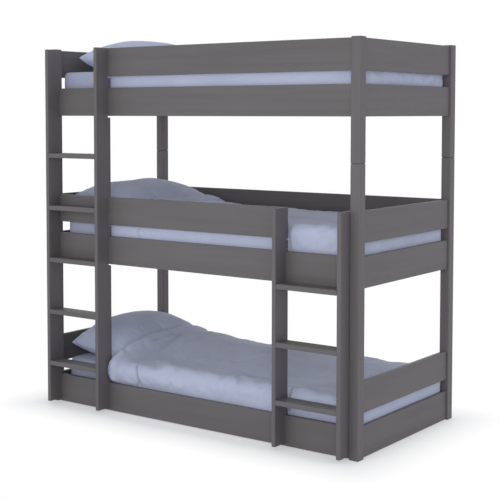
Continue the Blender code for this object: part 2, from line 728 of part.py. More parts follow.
def main():
    """Builds the whole bed."""
    clear_scene()
    parts = new_collection("triple_bunk_bed")
    tools = new_collection("cutters")
    paint = principled("grey_paint", PAINT_COLOUR, PAINT_ROUGHNESS)
    steel = principled("zinc_steel", STEEL_COLOUR, STEEL_ROUGHNESS, STEEL_METAL_SHARE)
    timber = principled("bare_pine", TIMBER_COLOUR, TIMBER_ROUGHNESS)
    ticking = principled("fitted_sheet", LINEN_COLOUR, LINEN_ROUGHNESS)
    pillowcase = principled("pillowcase", LINEN_COLOUR, LINEN_ROUGHNESS)
    cover = principled("duvet_cover", LINEN_COLOUR, LINEN_ROUGHNESS)
    build_posts(parts, tools, paint, steel)
    build_boards(parts, tools, paint)
    build_ladders(parts, tools, paint)
    build_slats(parts, tools, timber)
    build_bedding(parts, ticking, pillowcase, cover)


main()
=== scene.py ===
"""Looks of a triple bunk bed in grey painted timber, with blue-grey cotton bedding.

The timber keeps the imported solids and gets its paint, and the dowels their plating. The slats and all of the
bedding are finer pieces that stand for their solids. Lengths are in metres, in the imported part's frame:
+X runs from the pillow end to the foot end, +Y from the ladders to the wall, +Z up.
"""

from __future__ import annotations

import logging
import math
from dataclasses import dataclass
from enum import Enum
from typing import Callable

import bmesh
import bpy
import numpy as np
from mathutils import Euler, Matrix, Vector


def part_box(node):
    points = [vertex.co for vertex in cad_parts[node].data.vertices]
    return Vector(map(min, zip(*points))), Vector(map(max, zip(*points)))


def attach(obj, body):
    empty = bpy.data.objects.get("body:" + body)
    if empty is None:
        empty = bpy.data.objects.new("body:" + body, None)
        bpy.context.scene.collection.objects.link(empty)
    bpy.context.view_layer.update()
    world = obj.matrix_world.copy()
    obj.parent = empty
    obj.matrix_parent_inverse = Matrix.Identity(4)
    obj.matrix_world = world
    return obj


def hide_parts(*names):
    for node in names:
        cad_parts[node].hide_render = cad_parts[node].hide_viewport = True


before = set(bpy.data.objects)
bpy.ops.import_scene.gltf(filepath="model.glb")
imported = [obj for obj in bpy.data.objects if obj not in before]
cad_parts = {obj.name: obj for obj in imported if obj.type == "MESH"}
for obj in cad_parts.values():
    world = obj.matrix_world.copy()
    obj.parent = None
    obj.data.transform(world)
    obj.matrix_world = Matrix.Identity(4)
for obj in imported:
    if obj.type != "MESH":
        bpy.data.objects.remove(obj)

LOG = logging.getLogger("bunk_bed")
TINY = 1e-9
WHITE = (1.0, 1.0, 1.0, 1.0)
Array = np.ndarray
Colour = tuple[float, float, float]
Faces = list[tuple[int, ...]]
Height = Callable[[Array, Array], Array]
Run = tuple[float, float]
Socket = bpy.types.NodeSocket


class Bed(Enum):
    """The three beds, from the floor up."""

    BOTTOM = "bottom"
    MIDDLE = "middle"
    TOP = "top"


class Grain(Enum):
    """The direction of a board's grain, with how often its figure repeats along X, Y and Z, per metre."""

    LENGTHWISE = (2.2, 46.0, 46.0)
    CROSSWISE = (46.0, 2.2, 46.0)
    UPRIGHT = (46.0, 46.0, 2.2)


# Shader groups


class NodeCanvas:
    """A short way to place and join nodes in one tree."""

    def __init__(self, tree: bpy.types.NodeTree) -> None:
        """Keeps the node tree of a material, a world or a group."""
        self.tree = tree

    def fill(self, node: bpy.types.Node, **inputs: object) -> bpy.types.Node:
        """Fills the inputs of a node.

        Args:
            node: The node.
            **inputs: Values or sockets. "in_0" names an input by its number, and "_" stands for a space.

        Returns:
            The node.
        """
        for name, value in inputs.items():
            key = int(name[3:]) if name.startswith("in_") else name.replace("_", " ")
            if isinstance(value, Socket):
                self.tree.links.new(value, node.inputs[key])
            else:
                node.inputs[key].default_value = value
        return node

    def put(self, kind: str, settings: dict[str, object] | None = None, **inputs: object) -> bpy.types.Node:
        """Places a node and fills its inputs.

        Args:
            kind: The node's type, without the "ShaderNode" in front.
            settings: Properties of the node, such as its operation.
            **inputs: Its inputs, as for fill.

        Returns:
            The node.
        """
        node = self.tree.nodes.new(f"ShaderNode{kind}")
        for name, value in (settings or {}).items():
            setattr(node, name, value)
        return self.fill(node, **inputs)

    def group(self, tree: bpy.types.NodeTree, **inputs: object) -> bpy.types.NodeOutputs:
        """Places a shader group and gives its outputs."""
        return self.put("Group", {"node_tree": tree}, **inputs).outputs

    def math(self, operation: str, first: object, second: object = 0.0) -> Socket:
        """Joins two numbers by an operation."""
        return self.put("Math", {"operation": operation}, in_0=first, in_1=second).outputs[0]

    def mix(self, share: object, first: object, second: object) -> Socket:
        """Mixes a share of the second colour into the first."""
        return self.put("Mix", {"data_type": "RGBA"}, in_0=share, in_6=first, in_7=second).outputs[2]

    def spread(self, value: Socket, low: float, high: float, start: float = 0.0, end: float = 1.0) -> Socket:
        """Maps a number from the range low to high to the range start to end, clamped."""
        return self.put("MapRange", in_0=value, in_1=low, in_2=high, in_3=start, in_4=end).outputs[0]

    def vector(self, operation: str, **inputs: object) -> bpy.types.NodeOutputs:
        """Joins vectors by an operation and gives the outputs."""
        return self.put("VectorMath", {"operation": operation}, **inputs).outputs

    def noise(self, place: Socket, kind: str = "FBM", **inputs: float) -> Socket:
        """A noise of the given kind, Scale, Detail, Roughness and Distortion."""
        return self.put("TexNoise", {"noise_type": kind}, Vector=place, **inputs).outputs["Fac"]

    def bump(self, height: Socket, strength: float, depth: float, **over: Socket) -> Socket:
        """The normal of a relief, laid over another Normal if one is given."""
        return self.put("Bump", Strength=strength, Distance=depth, Height=height, **over).outputs[0]

    def looked_at(self) -> Socket:
        """Tells the rays that a viewer sees from those that only carry light.

        Returns:
            1 on the camera's own rays, also by way of a mirror or through glass, and 0 elsewhere.
        """
        path = self.put("LightPath").outputs
        beyond = self.math("MAXIMUM", path["Is Glossy Ray"], path["Is Transmission Ray"])
        return self.math("MAXIMUM", path["Is Camera Ray"], beyond)


def new_group(name: str, inputs: dict[str, float | None], outputs: tuple[str, ...]) -> NodeCanvas:
    """Starts a shader group with its sockets.

    Args:
        name: The group's name.
        inputs: The default of each number input, and None for a vector input.
        outputs: The names of the outputs, all numbers.

    Returns:
        The group's canvas.
    """
    group = bpy.data.node_groups.new(name, "ShaderNodeTree")
    for label, value in inputs.items():
        kind = "NodeSocketVector" if value is None else "NodeSocketFloat"
        made = group.interface.new_socket(name=label, in_out="INPUT", socket_type=kind)
        if value is not None:
            made.default_value = value
    for label in outputs:
        group.interface.new_socket(name=label, in_out="OUTPUT", socket_type="NodeSocketFloat")
    return NodeCanvas(group)


def timber_figure_group() -> bpy.types.NodeTree:
    """The figure of planed softwood: broad bands, fine fibres and a slow drift, each piece with its own.

    Returns:
        The group. It takes the stretched coordinates and puts out Bands, Fibres and Drift.
    """
    canvas = new_group("timber_figure", {"Vector": None}, ("Bands", "Fibres", "Drift"))
    given = canvas.tree.nodes.new("NodeGroupInput").outputs
    own = canvas.put("ObjectInfo").outputs["Random"]
    shift = canvas.put(
        "CombineXYZ",
        X=canvas.math("MULTIPLY", own, 91.0),
        Y=canvas.math("MULTIPLY", own, 47.0),
        Z=canvas.math("MULTIPLY", own, 23.0),
    )
    place = canvas.vector("ADD", in_0=given["Vector"], in_1=shift.outputs[0])[0]
    canvas.fill(
        canvas.tree.nodes.new("NodeGroupOutput"),
        Bands=canvas.noise(place, Scale=0.55, Detail=3.0, Roughness=0.5, Distortion=0.5),
        Fibres=canvas.noise(place, Scale=7.0, Detail=5.0, Roughness=0.62),
        Drift=canvas.noise(place, Scale=0.09, Detail=2.0, Roughness=0.5),
    )
    return canvas.tree


def edge_highlight_group() -> bpy.types.NodeTree:
    """Painted highlight on the arrises: a mask that is 1 on an arris and broken up by a fine noise.

    Returns:
        The group. It takes Reach and Breaks, and puts out Mask.
    """
    canvas = new_group("painted_edge_highlight", {"Reach": 0.004, "Breaks": 60.0}, ("Mask",))
    given = canvas.tree.nodes.new("NodeGroupInput").outputs
    rounded = canvas.put("Bevel", {"samples": 4}, Radius=given["Reach"]).outputs[0]
    normal = canvas.put("NewGeometry").outputs["Normal"]
    facing = canvas.vector("DOT_PRODUCT", in_0=rounded, in_1=normal)["Value"]
    place = canvas.put("TexCoord").outputs["Object"]
    breaks = canvas.noise(place, Scale=given["Breaks"], Detail=3.0, Roughness=0.6)
    mask = canvas.math("MULTIPLY", canvas.spread(facing, 0.995, 0.90), canvas.spread(breaks, 0.35, 0.62))
    canvas.fill(canvas.tree.nodes.new("NodeGroupOutput"), Mask=mask)
    return canvas.tree


def plain_weave_group() -> bpy.types.NodeTree:
    """A plain weave: threads that pass over and under each other in turn.

    Returns:
        The group. It takes Vector and Threads per metre, and puts out Height and Slub, its thicker threads.
    """
    canvas = new_group("plain_weave", {"Vector": None, "Threads": 900.0}, ("Height", "Slub"))
    given = canvas.tree.nodes.new("NodeGroupInput").outputs
    threads = canvas.vector("SCALE", in_0=given["Vector"], Scale=given["Threads"])[0]
    part = canvas.put("SeparateXYZ", in_0=threads).outputs
    warp = canvas.math("SINE", canvas.math("MULTIPLY", part["X"], math.pi))
    weft = canvas.math("SINE", canvas.math("MULTIPLY", canvas.math("ADD", part["Y"], part["Z"]), math.pi))
    over = canvas.math("MULTIPLY", warp, weft)
    slub = canvas.noise(given["Vector"], Scale=210.0, Detail=2.0, Roughness=0.7)
    height = canvas.math("ADD", canvas.math("MULTIPLY", over, 0.6), slub)
    canvas.fill(canvas.tree.nodes.new("NodeGroupOutput"), Height=height, Slub=slub)
    return canvas.tree


def cloth_crease_group() -> bpy.types.NodeTree:
    """Creases of washed cotton: fine crumples that lie over slow waves.

    Returns:
        The group. It takes Vector and Size, the crumples per metre, and puts out Height and the slow waves,
        for painted shade.
    """
    canvas = new_group("cloth_creases", {"Vector": None, "Size": 9.0}, ("Height", "Fade"))
    given = canvas.tree.nodes.new("NodeGroupInput").outputs
    place = canvas.vector("SCALE", in_0=given["Vector"], Scale=given["Size"])[0]
    slow = canvas.noise(place, Scale=0.45, Detail=2.0, Roughness=0.5, Distortion=0.8)
    folds = canvas.noise(place, "RIDGED_MULTIFRACTAL", Scale=1.0, Detail=3.0, Roughness=0.45, Distortion=1.1)
    fine = canvas.noise(place, Scale=5.5, Detail=3.0, Roughness=0.6)
    broad = canvas.math("ADD", canvas.math("MULTIPLY", slow, 1.6), canvas.math("MULTIPLY", folds, 0.30))
    height = canvas.math("ADD", broad, canvas.math("MULTIPLY", fine, 0.16))
    canvas.fill(canvas.tree.nodes.new("NodeGroupOutput"), Height=height, Fade=slow)
    return canvas.tree


class ShaderGroups:
    """The shader groups that the finishes share, each built once."""

    def __init__(self) -> None:
        """Builds the groups."""
        self.figure = timber_figure_group()
        self.painted_highlight = edge_highlight_group()
        self.weave = plain_weave_group()
        self.creases = cloth_crease_group()


# Finishes


def tint(colour: Colour, strength: float = 1.0) -> tuple[float, float, float, float]:
    """A colour made lighter or darker, fully opaque."""
    return (*(part * strength for part in colour), 1.0)


def new_material(name: str) -> tuple[bpy.types.Material, NodeCanvas, bpy.types.Node]:
    """Starts a material.

    Args:
        name: The material's name.

    Returns:
        The material, its canvas and its Principled node.
    """
    material = bpy.data.materials.new(name)
    material.use_nodes = True
    return material, NodeCanvas(material.node_tree), material.node_tree.nodes["Principled BSDF"]


class FinishCanvas(NodeCanvas):
    """The canvas of a material, with the shared groups and the coordinates on the piece."""

    def __init__(self, tree: bpy.types.NodeTree, groups: ShaderGroups) -> None:
        """Places the coordinates.

        Args:
            tree: The material's node tree.
            groups: The shared shader groups.
        """
        super().__init__(tree)
        self.groups = groups
        self.place = self.put("TexCoord").outputs["Object"]

    def stretched(self, scale: tuple[float, float, float], **turn: object) -> Socket:
        """The coordinates on the piece, stretched and, if a Rotation is given, turned."""
        return self.put("Mapping", Vector=self.place, Scale=scale, **turn).outputs[0]

    def timber_figure(self, scale: tuple[float, float, float]) -> bpy.types.NodeOutputs:
        """The figure of timber or drawn metal, stretched along its fibres."""
        return self.group(self.groups.figure, Vector=self.stretched(scale))

    def share_of(self, mask: Socket, share: float) -> Socket:
        """A mask that is weakened to a share of its strength."""
        return self.math("MULTIPLY", mask, share)


@dataclass(frozen=True)
class Finish:
    """A finish that can be made into a material."""

    name: str

    def build(self, groups: ShaderGroups) -> bpy.types.Material:
        """Makes the material.

        Args:
            groups: The shared shader groups.

        Returns:
            The material.
        """
        material, canvas, shader = new_material(self.name)
        canvas.fill(shader, **self.wired(FinishCanvas(canvas.tree, groups)))
        return material

    def wired(self, canvas: FinishCanvas) -> dict[str, object]:
        """Places the finish's nodes.

        Args:
            canvas: The material's canvas.

        Returns:
            What the Principled shader's inputs get.
        """
        raise NotImplementedError


@dataclass(frozen=True)
class PaintedTimber(Finish):
    """Satin paint over planed softwood, the figure showing faintly through it, with a painted highlight along
    its arrises.
    """

    grain: Grain
    colour: Colour = (0.122, 0.112, 0.114)
    deep: Colour = (0.102, 0.093, 0.095)
    # A paler grey for the painted highlight on the arrises.
    edge_highlight_colour: Colour = (0.173, 0.161, 0.165)
    roughness: tuple[float, float] = (0.41, 0.55)
    drift: float = 0.35
    painted_highlight: float = 0.55
    relief_depth: float = 0.0009

    def wired(self, canvas: FinishCanvas) -> dict[str, object]:
        """Places the paint's nodes.

        Args:
            canvas: The material's canvas.

        Returns:
            What the Principled shader's inputs get.
        """
        figure = canvas.timber_figure(self.grain.value)
        # Painted highlight: the arrises are lightened towards a paler grey where light would catch their
        # rounding.
        highlit_edges = canvas.group(canvas.groups.painted_highlight, Reach=0.0035, Breaks=55.0)["Mask"]
        drift = canvas.spread(figure["Drift"], 0.3, 0.7, 0.0, self.drift)
        tone = canvas.mix(canvas.spread(figure["Bands"], 0.30, 0.72), tint(self.deep), tint(self.colour))
        tone = canvas.mix(drift, tone, tint(self.colour, 1.12))
        relief = canvas.math("ADD", canvas.share_of(figure["Bands"], 0.7), figure["Fibres"])
        return {
            "Base_Color": canvas.mix(canvas.share_of(highlit_edges, self.painted_highlight), tone, tint(self.edge_highlight_colour)),
            "Roughness": canvas.spread(figure["Fibres"], 0.3, 0.7, *self.roughness),
            "Normal": canvas.bump(relief, 0.22, self.relief_depth),
            "Specular_IOR_Level": 0.28,
        }


@dataclass(frozen=True)
class BarePine(Finish):
    """Sanded pine of the slats, which lie crosswise."""

    light: Colour = (0.66, 0.56, 0.43)
    dark: Colour = (0.50, 0.39, 0.26)
    rings: float = 42.0
    relief_depth: float = 0.0006

    def wired(self, canvas: FinishCanvas) -> dict[str, object]:
        """Places the pine's nodes.

        Args:
            canvas: The material's canvas.

        Returns:
            What the Principled shader's inputs get.
        """
        figure = canvas.timber_figure(Grain.CROSSWISE.value)
        # Painted highlight: the slats' arrises are lightened towards the light pine colour where light would
        # catch them.
        highlit_edges = canvas.group(canvas.groups.painted_highlight, Reach=0.003, Breaks=80.0)["Mask"]
        rings = canvas.math("SINE", canvas.math("MULTIPLY", figure["Bands"], self.rings))
        tone = canvas.mix(canvas.spread(rings, -0.2, 1.0), tint(self.light), tint(self.dark))
        tone = canvas.mix(canvas.spread(figure["Fibres"], 0.45, 0.75, 0.0, 0.4), tone, tint(self.dark))
        return {
            "Base_Color": canvas.mix(canvas.share_of(highlit_edges, 0.3), tone, tint(self.light)),
            "Roughness": 0.62,
            "Normal": canvas.bump(figure["Fibres"], 0.35, self.relief_depth),
        }


@dataclass(frozen=True)
class Cotton(Finish):
    """Plain woven cotton: its colour, how coarse its threads are, and how crumpled it is."""

    colour: Colour
    crumples: float
    crumple_depth: float
    slant: tuple[float, float, float] = (0.0, 0.0, 0.3)
    threads: float = 1100.0
    thread_depth: float = 0.00025

    def wired(self, canvas: FinishCanvas) -> dict[str, object]:
        """Places the cotton's nodes.

        Args:
            canvas: The material's canvas.

        Returns:
            What the Principled shader's inputs get.
        """
        turned = canvas.stretched((0.55, 1.0, 1.0), Rotation=self.slant)
        creases = canvas.group(canvas.groups.creases, Vector=turned, Size=self.crumples)
        weave = canvas.group(canvas.groups.weave, Vector=canvas.place, Threads=self.threads)
        # Painted shade: the cloth is darker where the slow crease waves lie low, in the hollows that its bump
        # shows.
        hollow_shade = canvas.spread(creases["Fade"], 0.3, 0.7)
        slubs = canvas.spread(weave["Slub"], 0.45, 0.75, 0.0, 0.16)
        tone = canvas.mix(hollow_shade, tint(self.colour, 0.94), tint(self.colour, 1.04))
        soft = canvas.bump(creases["Height"], 0.55, self.crumple_depth)
        return {
            "Base_Color": canvas.mix(slubs, tone, tint(self.colour, 0.80)),
            "Normal": canvas.bump(weave["Height"], 0.30, self.thread_depth, Normal=soft),
            "Roughness": canvas.spread(weave["Slub"], 0.3, 0.7, 0.84, 0.95),
            "Sheen_Weight": 0.12,
            "Sheen_Roughness": 0.5,
            "Specular_IOR_Level": 0.25,
        }


@dataclass(frozen=True)
class Webbing(Finish):
    """Coarse woven tape that holds the slats of a roll at their distance."""

    colour: Colour = (0.62, 0.58, 0.50)
    threads: float = 420.0
    thread_depth: float = 0.0006

    def wired(self, canvas: FinishCanvas) -> dict[str, object]:
        """Places the tape's nodes.

        Args:
            canvas: The material's canvas.

        Returns:
            What the Principled shader's inputs get.
        """
        height = canvas.group(canvas.groups.weave, Vector=canvas.place, Threads=self.threads)["Height"]
        # Painted shade: the tape is darker in the low places of its weave, between the raised threads.
        lit_threads = canvas.spread(height, 0.1, 1.1)
        return {
            "Base_Color": canvas.mix(lit_threads, tint(self.colour, 0.7), tint(self.colour)),
            "Roughness": 0.85,
            "Normal": canvas.bump(height, 0.6, self.thread_depth),
        }


@dataclass(frozen=True)
class ZincSteel(Finish):
    """Zinc-plated steel of the dowels and the staples, with the fine turning marks of bar stock."""

    colour: Colour = (0.60, 0.60, 0.61)
    marks: tuple[float, float, float] = (40.0, 40.0, 900.0)

    def wired(self, canvas: FinishCanvas) -> dict[str, object]:
        """Places the steel's nodes.

        Args:
            canvas: The material's canvas.

        Returns:
            What the Principled shader's inputs get.
        """
        figure = canvas.timber_figure(self.marks)
        return {
            "Base_Color": canvas.mix(figure["Bands"], tint(self.colour, 0.8), tint(self.colour)),
            "Roughness": canvas.spread(figure["Fibres"], 0.3, 0.7, 0.26, 0.42),
            "Metallic": 1.0,
        }


class Finishes:
    """All the materials of the bed, each built once."""

    def __init__(self) -> None:
        """Builds the materials."""
        groups = ShaderGroups()
        paints = {grain: PaintedTimber(f"grey_paint_{grain.name.lower()}", grain) for grain in Grain}
        self.paint = {grain: paint.build(groups) for grain, paint in paints.items()}
        self.pine = BarePine("bare_pine").build(groups)
        self.webbing = Webbing("slat_webbing").build(groups)
        self.steel = ZincSteel("zinc_steel").build(groups)
        # The sheet is darker than the cover, partly as painted shade for the mattress sides that lie in shade
        # by the ladders and at the head ends.
        sheet = Cotton("fitted_sheet", (0.328, 0.349, 0.458), 5.0, 0.0018)
        case = Cotton("pillowcase", (0.408, 0.443, 0.578), 11.0, 0.0035, slant=(0.2, 0.1, 0.9))
        cover = Cotton("duvet_cover", (0.430, 0.461, 0.588), 6.5, 0.0050, slant=(0.0, 0.0, -0.5))
        self.sheet, self.pillowcase, self.cover = (cotton.build(groups) for cotton in (sheet, case, cover))


# Helpers for meshes


class SoftNoise:
    """Smooth random heights over a plane, the same on every run."""

    def __init__(self, seed: int, size: int = 128) -> None:
        """Draws the table of heights.

        Args:
            seed: What makes this field differ from others.
            size: How many cells it has before it repeats.
        """
        self.size = size
        self.table = np.random.default_rng(seed).uniform(-1.0, 1.0, (size, size))

    def at(self, x: Array, y: Array) -> Array:
        """The height at places that are counted in cells.

        Args:
            x: Places along the first direction.
            y: Places along the second direction.

        Returns:
            Heights from -1 to 1.
        """
        low_x, low_y = np.floor(x).astype(int), np.floor(y).astype(int)
        part_x, part_y = x - low_x, y - low_y
        part_x = part_x**3 * (part_x * (part_x * 6.0 - 15.0) + 10.0)
        part_y = part_y**3 * (part_y * (part_y * 6.0 - 15.0) + 10.0)
        a, b = low_x % self.size, low_y % self.size
        c, d = (a + 1) % self.size, (b + 1) % self.size
        near = self.table[a, b] * (1.0 - part_x) + self.table[c, b] * part_x
        far = self.table[a, d] * (1.0 - part_x) + self.table[c, d] * part_x
        return near * (1.0 - part_y) + far * part_y

    def patch(self, x: Array, y: Array, cell: tuple[float, float], start: tuple[float, float]) -> Array:
        """The height at places in metres, from the size of a cell and the cell that it starts in."""
        return self.at(x / cell[0] + start[0], y / cell[1] + start[1])

    def line(self, x: Array, cell: float, start: float, row: float) -> Array:
        """The height along one row of cells."""
        return self.at(x / cell + start, x * 0.0 + row)


def fading(share: Array) -> Array:
    """A smooth fall from 1 to 0 as share goes from 0 to 1."""
    share = np.clip(share, 0.0, 1.0)
    return 1.0 - share * share * (3.0 - 2.0 * share)


def falling(at: Array, run: Run) -> Array:
    """A smooth fall from 1 to 0 over a run, given by its start and its length."""
    return fading((at - run[0]) / run[1])


def rising(at: Array, run: Run) -> Array:
    """An even rise from 0 to 1 over a run, given by its start and its length."""
    return np.clip((at - run[0]) / run[1], 0.0, 1.0)


def hump(at: Array, place: Run) -> Array:
    """A smooth hump, given by its middle and its width."""
    return np.exp(-(((at - place[0]) / place[1]) ** 2))


def creased(height: Array) -> Array:
    """Turns smooth heights into sharp creases, from -1 to 1."""
    return 1.0 - 2.0 * np.abs(height)


def unit(rows: Array) -> Array:
    """Vectors along the last direction, brought to the length of one."""
    return rows / np.maximum(np.linalg.norm(rows, axis=-1, keepdims=True), TINY)


def normals_of(points: Array) -> Array:
    """Unit normals of a grid of points, along the rows' direction crossed with the columns' direction."""
    return unit(np.cross(np.gradient(points, axis=0), np.gradient(points, axis=1)))


def link(name: str, data: bpy.types.ID) -> bpy.types.Object:
    """Puts a mesh, a lamp or a camera in the scene.

    Args:
        name: The object's name.
        data: What it shows.

    Returns:
        The object.
    """
    obj = bpy.data.objects.new(name, data)
    bpy.context.scene.collection.objects.link(obj)
    return obj


def mesh_from(name: str, bm: bmesh.types.BMesh, material: bpy.types.Material) -> bpy.types.Mesh:
    """Turns a working mesh into a mesh of one material.

    Args:
        name: The mesh's name.
        bm: The working mesh, which is freed.
        material: Its finish.

    Returns:
        The mesh.
    """
    mesh = bpy.data.meshes.new(name)
    bm.to_mesh(mesh)
    bm.free()
    mesh.materials.append(material)
    return mesh


def add_piece(name: str, points: Array, faces: Faces, material: bpy.types.Material) -> bpy.types.Object:
    """Makes a smooth mesh object.

    Args:
        name: The object's name.
        points: Places, shaped (count, 3).
        faces: The corners of each face.
        material: Its finish.

    Returns:
        The object, linked to the scene.
    """
    mesh = bpy.data.meshes.new(name)
    mesh.from_pydata(points.tolist(), [], faces)
    mesh.materials.append(material)
    mesh.shade_smooth()
    return link(name, mesh)


def grid_faces(rows: int, columns: int, start: int = 0, turned: bool = False) -> Faces:
    """The four-sided faces of a grid of points.

    Args:
        rows: Points along the first direction.
        columns: Points along the second direction.
        start: The number of the grid's first point.
        turned: True to turn the faces round.

    Returns:
        The faces.
    """
    at = start + np.arange(rows * columns).reshape(rows, columns)
    corners = np.stack([at[:-1, :-1], at[1:, :-1], at[1:, 1:], at[:-1, 1:]], -1).reshape(-1, 4)
    return [tuple(face) for face in (corners[:, ::-1] if turned else corners).tolist()]


def inside_rim(rows: int, columns: int) -> Array:
    """A mask over a grid of points, True inside its rim."""
    return np.pad(np.ones((rows - 2, columns - 2), bool), 1)


def seamed(upper: Array, lower: Array) -> tuple[Array, Faces]:
    """Sews two grids of points together at their rims.

    Args:
        upper: The outer face, shaped (rows, columns, 3), with its normals outwards.
        lower: The inner face, of the same shape. Its rim is left out for that of the outer face.

    Returns:
        The points and the faces.
    """
    rows, columns, _ = upper.shape
    inner = inside_rim(rows, columns)
    number = np.arange(rows * columns).reshape(rows, columns)
    number[inner] = rows * columns + np.arange(inner.sum())
    number = number.ravel()
    faces = grid_faces(rows, columns)
    faces += [tuple(number[list(face)].tolist()) for face in grid_faces(rows, columns, turned=True)]
    return np.concatenate([upper.reshape(-1, 3), lower[inner]]), faces


def rolled(upper: Array, lower: Array, roll: float, rings: int) -> tuple[Array, Faces]:
    """Joins two grids of points by a rounded rim.

    Args:
        upper: The outer face, shaped (rows, columns, 3), with its normals outwards.
        lower: The inner face, of the same shape.
        roll: How far the rim stands out between the two faces.
        rings: How many rings of points go round the rim.

    Returns:
        The points and the faces.
    """
    rows, columns, _ = upper.shape
    at = np.arange(rows * columns).reshape(rows, columns)
    rim = np.concatenate([at[:, 0], at[-1, 1:], at[-2::-1, -1], at[0, -2:0:-1]])
    inward = np.clip(rim // columns, 1, rows - 2) * columns + np.clip(rim % columns, 1, columns - 2)
    top, under = upper.reshape(-1, 3), lower.reshape(-1, 3)
    out = top[rim] - top[inward]
    out[:, 1] = 0.0
    out = unit(out)
    points, loops = [top, under], [rim]
    for ring in range(rings):
        share = (ring + 1) / (rings + 1)
        points.append(top[rim] * (1.0 - share) + under[rim] * share + out * roll * math.sin(math.pi * share))
        loops.append(2 * at.size + ring * rim.size + np.arange(rim.size))
    loops.append(rim + at.size)
    faces = grid_faces(rows, columns) + grid_faces(rows, columns, at.size, True)
    for first, second in zip(loops, loops[1:]):
        corners = np.stack([np.roll(first, -1), first, second, np.roll(second, -1)], 1)
        faces += [tuple(face) for face in corners.tolist()]
    return np.concatenate(points), faces


def blurred(grid: Array, reach: int, rounds: int = 3) -> Array:
    """Smooths a grid of places or depths.

    Args:
        grid: Values over rows and columns.
        reach: How many points to each side are averaged.
        rounds: How often.

    Returns:
        The smoothed values.
    """
    width = 2 * reach + 1
    for _ in range(rounds):
        for axis in (0, 1):
            pad = [(0, 0)] * grid.ndim
            pad[axis] = (reach + 1, reach)
            total = np.cumsum(np.pad(grid, pad, mode="edge"), axis=axis)
            count = total.shape[axis]
            later = np.take(total, range(width, count), axis=axis)
            grid = (later - np.take(total, range(count - width), axis=axis)) / width
    return grid


def resampled(grid: Array, stations: Array, wanted: Array) -> Array:
    """The values of a grid at other distances along its rows.

    Args:
        grid: Values, one row to each station.
        stations: The rows' distances, rising.
        wanted: The distances asked for.

    Returns:
        Values, one row to each distance.
    """
    spot = np.clip(np.searchsorted(stations, wanted) - 1, 0, len(stations) - 2)
    share = np.clip((wanted - stations[spot]) / (stations[spot + 1] - stations[spot]), 0.0, 1.0)
    share = share.reshape(-1, *([1] * (grid.ndim - 1)))
    return grid[spot] * (1.0 - share) + grid[spot + 1] * share


@dataclass(frozen=True)
class ClothRun:
    """A short cloth simulation in which a cover with cloth to spare buckles over its filling."""

    slack: float
    pressure: float
    bending: float = 0.02
    kept_form: float = 0.15
    frames: int = 20
    stiffness: float = 12.0
    mass: float = 0.2
    smooth_reach: int = 5
    hold_steps: int = 20

    def settle(self, points: Array, faces: Faces, held: Array, material: bpy.types.Material) -> Array:
        """Runs the simulation on a mesh that is made for it and removed again.

        Args:
            points: Places, shaped (count, 3).
            faces: The corners of each face.
            held: How firmly each point is held in its place, from 0 to 1.
            material: The cloth's finish.

        Returns:
            The places of the points at the last frame.
        """
        run = add_piece("cloth_run", points, faces, material)
        scene = bpy.context.scene
        group = run.vertex_groups.new(name="held")
        steps = np.round(held * self.hold_steps).astype(int)
        for step in range(1, self.hold_steps + 1):
            group.add(np.flatnonzero(steps == step).tolist(), step / self.hold_steps, "REPLACE")
        cloth = run.modifiers.new("cloth", "CLOTH")
        settings = cloth.settings
        settings.quality, settings.mass = 5, self.mass
        settings.vertex_group_mass = group.name
        settings.tension_stiffness = settings.compression_stiffness = self.stiffness
        settings.shear_stiffness, settings.bending_stiffness = self.stiffness / 3.0, self.bending
        settings.shrink_min = -self.slack
        settings.effector_weights.gravity = 0.0
        settings.use_pressure = self.pressure > 0.0
        settings.uniform_pressure_force = self.pressure
        cloth.collision_settings.use_collision = False
        cloth.point_cache.frame_start, cloth.point_cache.frame_end = 1, self.frames
        for number in range(1, self.frames + 1):
            scene.frame_set(number)
        settled = run.evaluated_get(bpy.context.evaluated_depsgraph_get())
        places = np.zeros(len(points) * 3)
        settled.data.vertices.foreach_get("co", places)
        mesh = run.data
        bpy.data.objects.remove(run)
        bpy.data.meshes.remove(mesh)
        scene.frame_set(1)
        return places.reshape(-1, 3)

    def wrinkles(self, before: Array, after: Array, reach: float) -> Array:
        """Keeps the wrinkles of a run and most of the form from before it.

        Args:
            before: A grid of places before the run.
            after: The same grid after it.
            reach: How far a point may have moved.

        Returns:
            The grid with its wrinkles.
        """
        moved = after - before
        moved = moved - blurred(moved, self.smooth_reach) * (1.0 - self.kept_form)
        far = np.linalg.norm(moved, axis=2, keepdims=True)
        return before + moved * reach * np.tanh(far / reach) / np.maximum(far, TINY)


# Timber


@dataclass
class Timberwork:
    """Posts, rails, boards and ladders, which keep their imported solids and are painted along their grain."""

    upright: tuple[str, ...] = ("_post_front", "_post_rear", "_stile")
    crosswise: tuple[str, ...] = ("_lower_board", "_upper_board")
    lengthwise: tuple[str, ...] = ("_rail", "_tread_")
    dowel: str = "post_dowel"

    def grain_of(self, name: str) -> Grain | None:
        """The direction of a node's grain.

        Args:
            name: The node's name.

        Returns:
            The grain, or None where the node isn't painted timber.
        """
        words = {
            Grain.UPRIGHT: self.upright,
            Grain.CROSSWISE: self.crosswise,
            Grain.LENGTHWISE: self.lengthwise,
        }
        return next((grain for grain, parts in words.items() if any(part in name for part in parts)), None)

    def coat(self, obj: bpy.types.Object, material: bpy.types.Material) -> None:
        """Gives a node one finish in place of what it has."""
        obj.data.materials.clear()
        obj.data.materials.append(material)

    def dress(self, finishes: Finishes) -> None:
        """Gives each timber node and dowel its finish.

        Args:
            finishes: The materials.
        """
        for name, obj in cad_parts.items():
            grain = self.grain_of(name)
            if name.startswith(self.dowel):
                self.coat(obj, finishes.steel)
                LOG.info("%s: zinc-plated steel", name)
            elif grain is not None:
                self.coat(obj, finishes.paint[grain])
                LOG.info("%s: grey paint, grain %s", name, grain.name.lower())


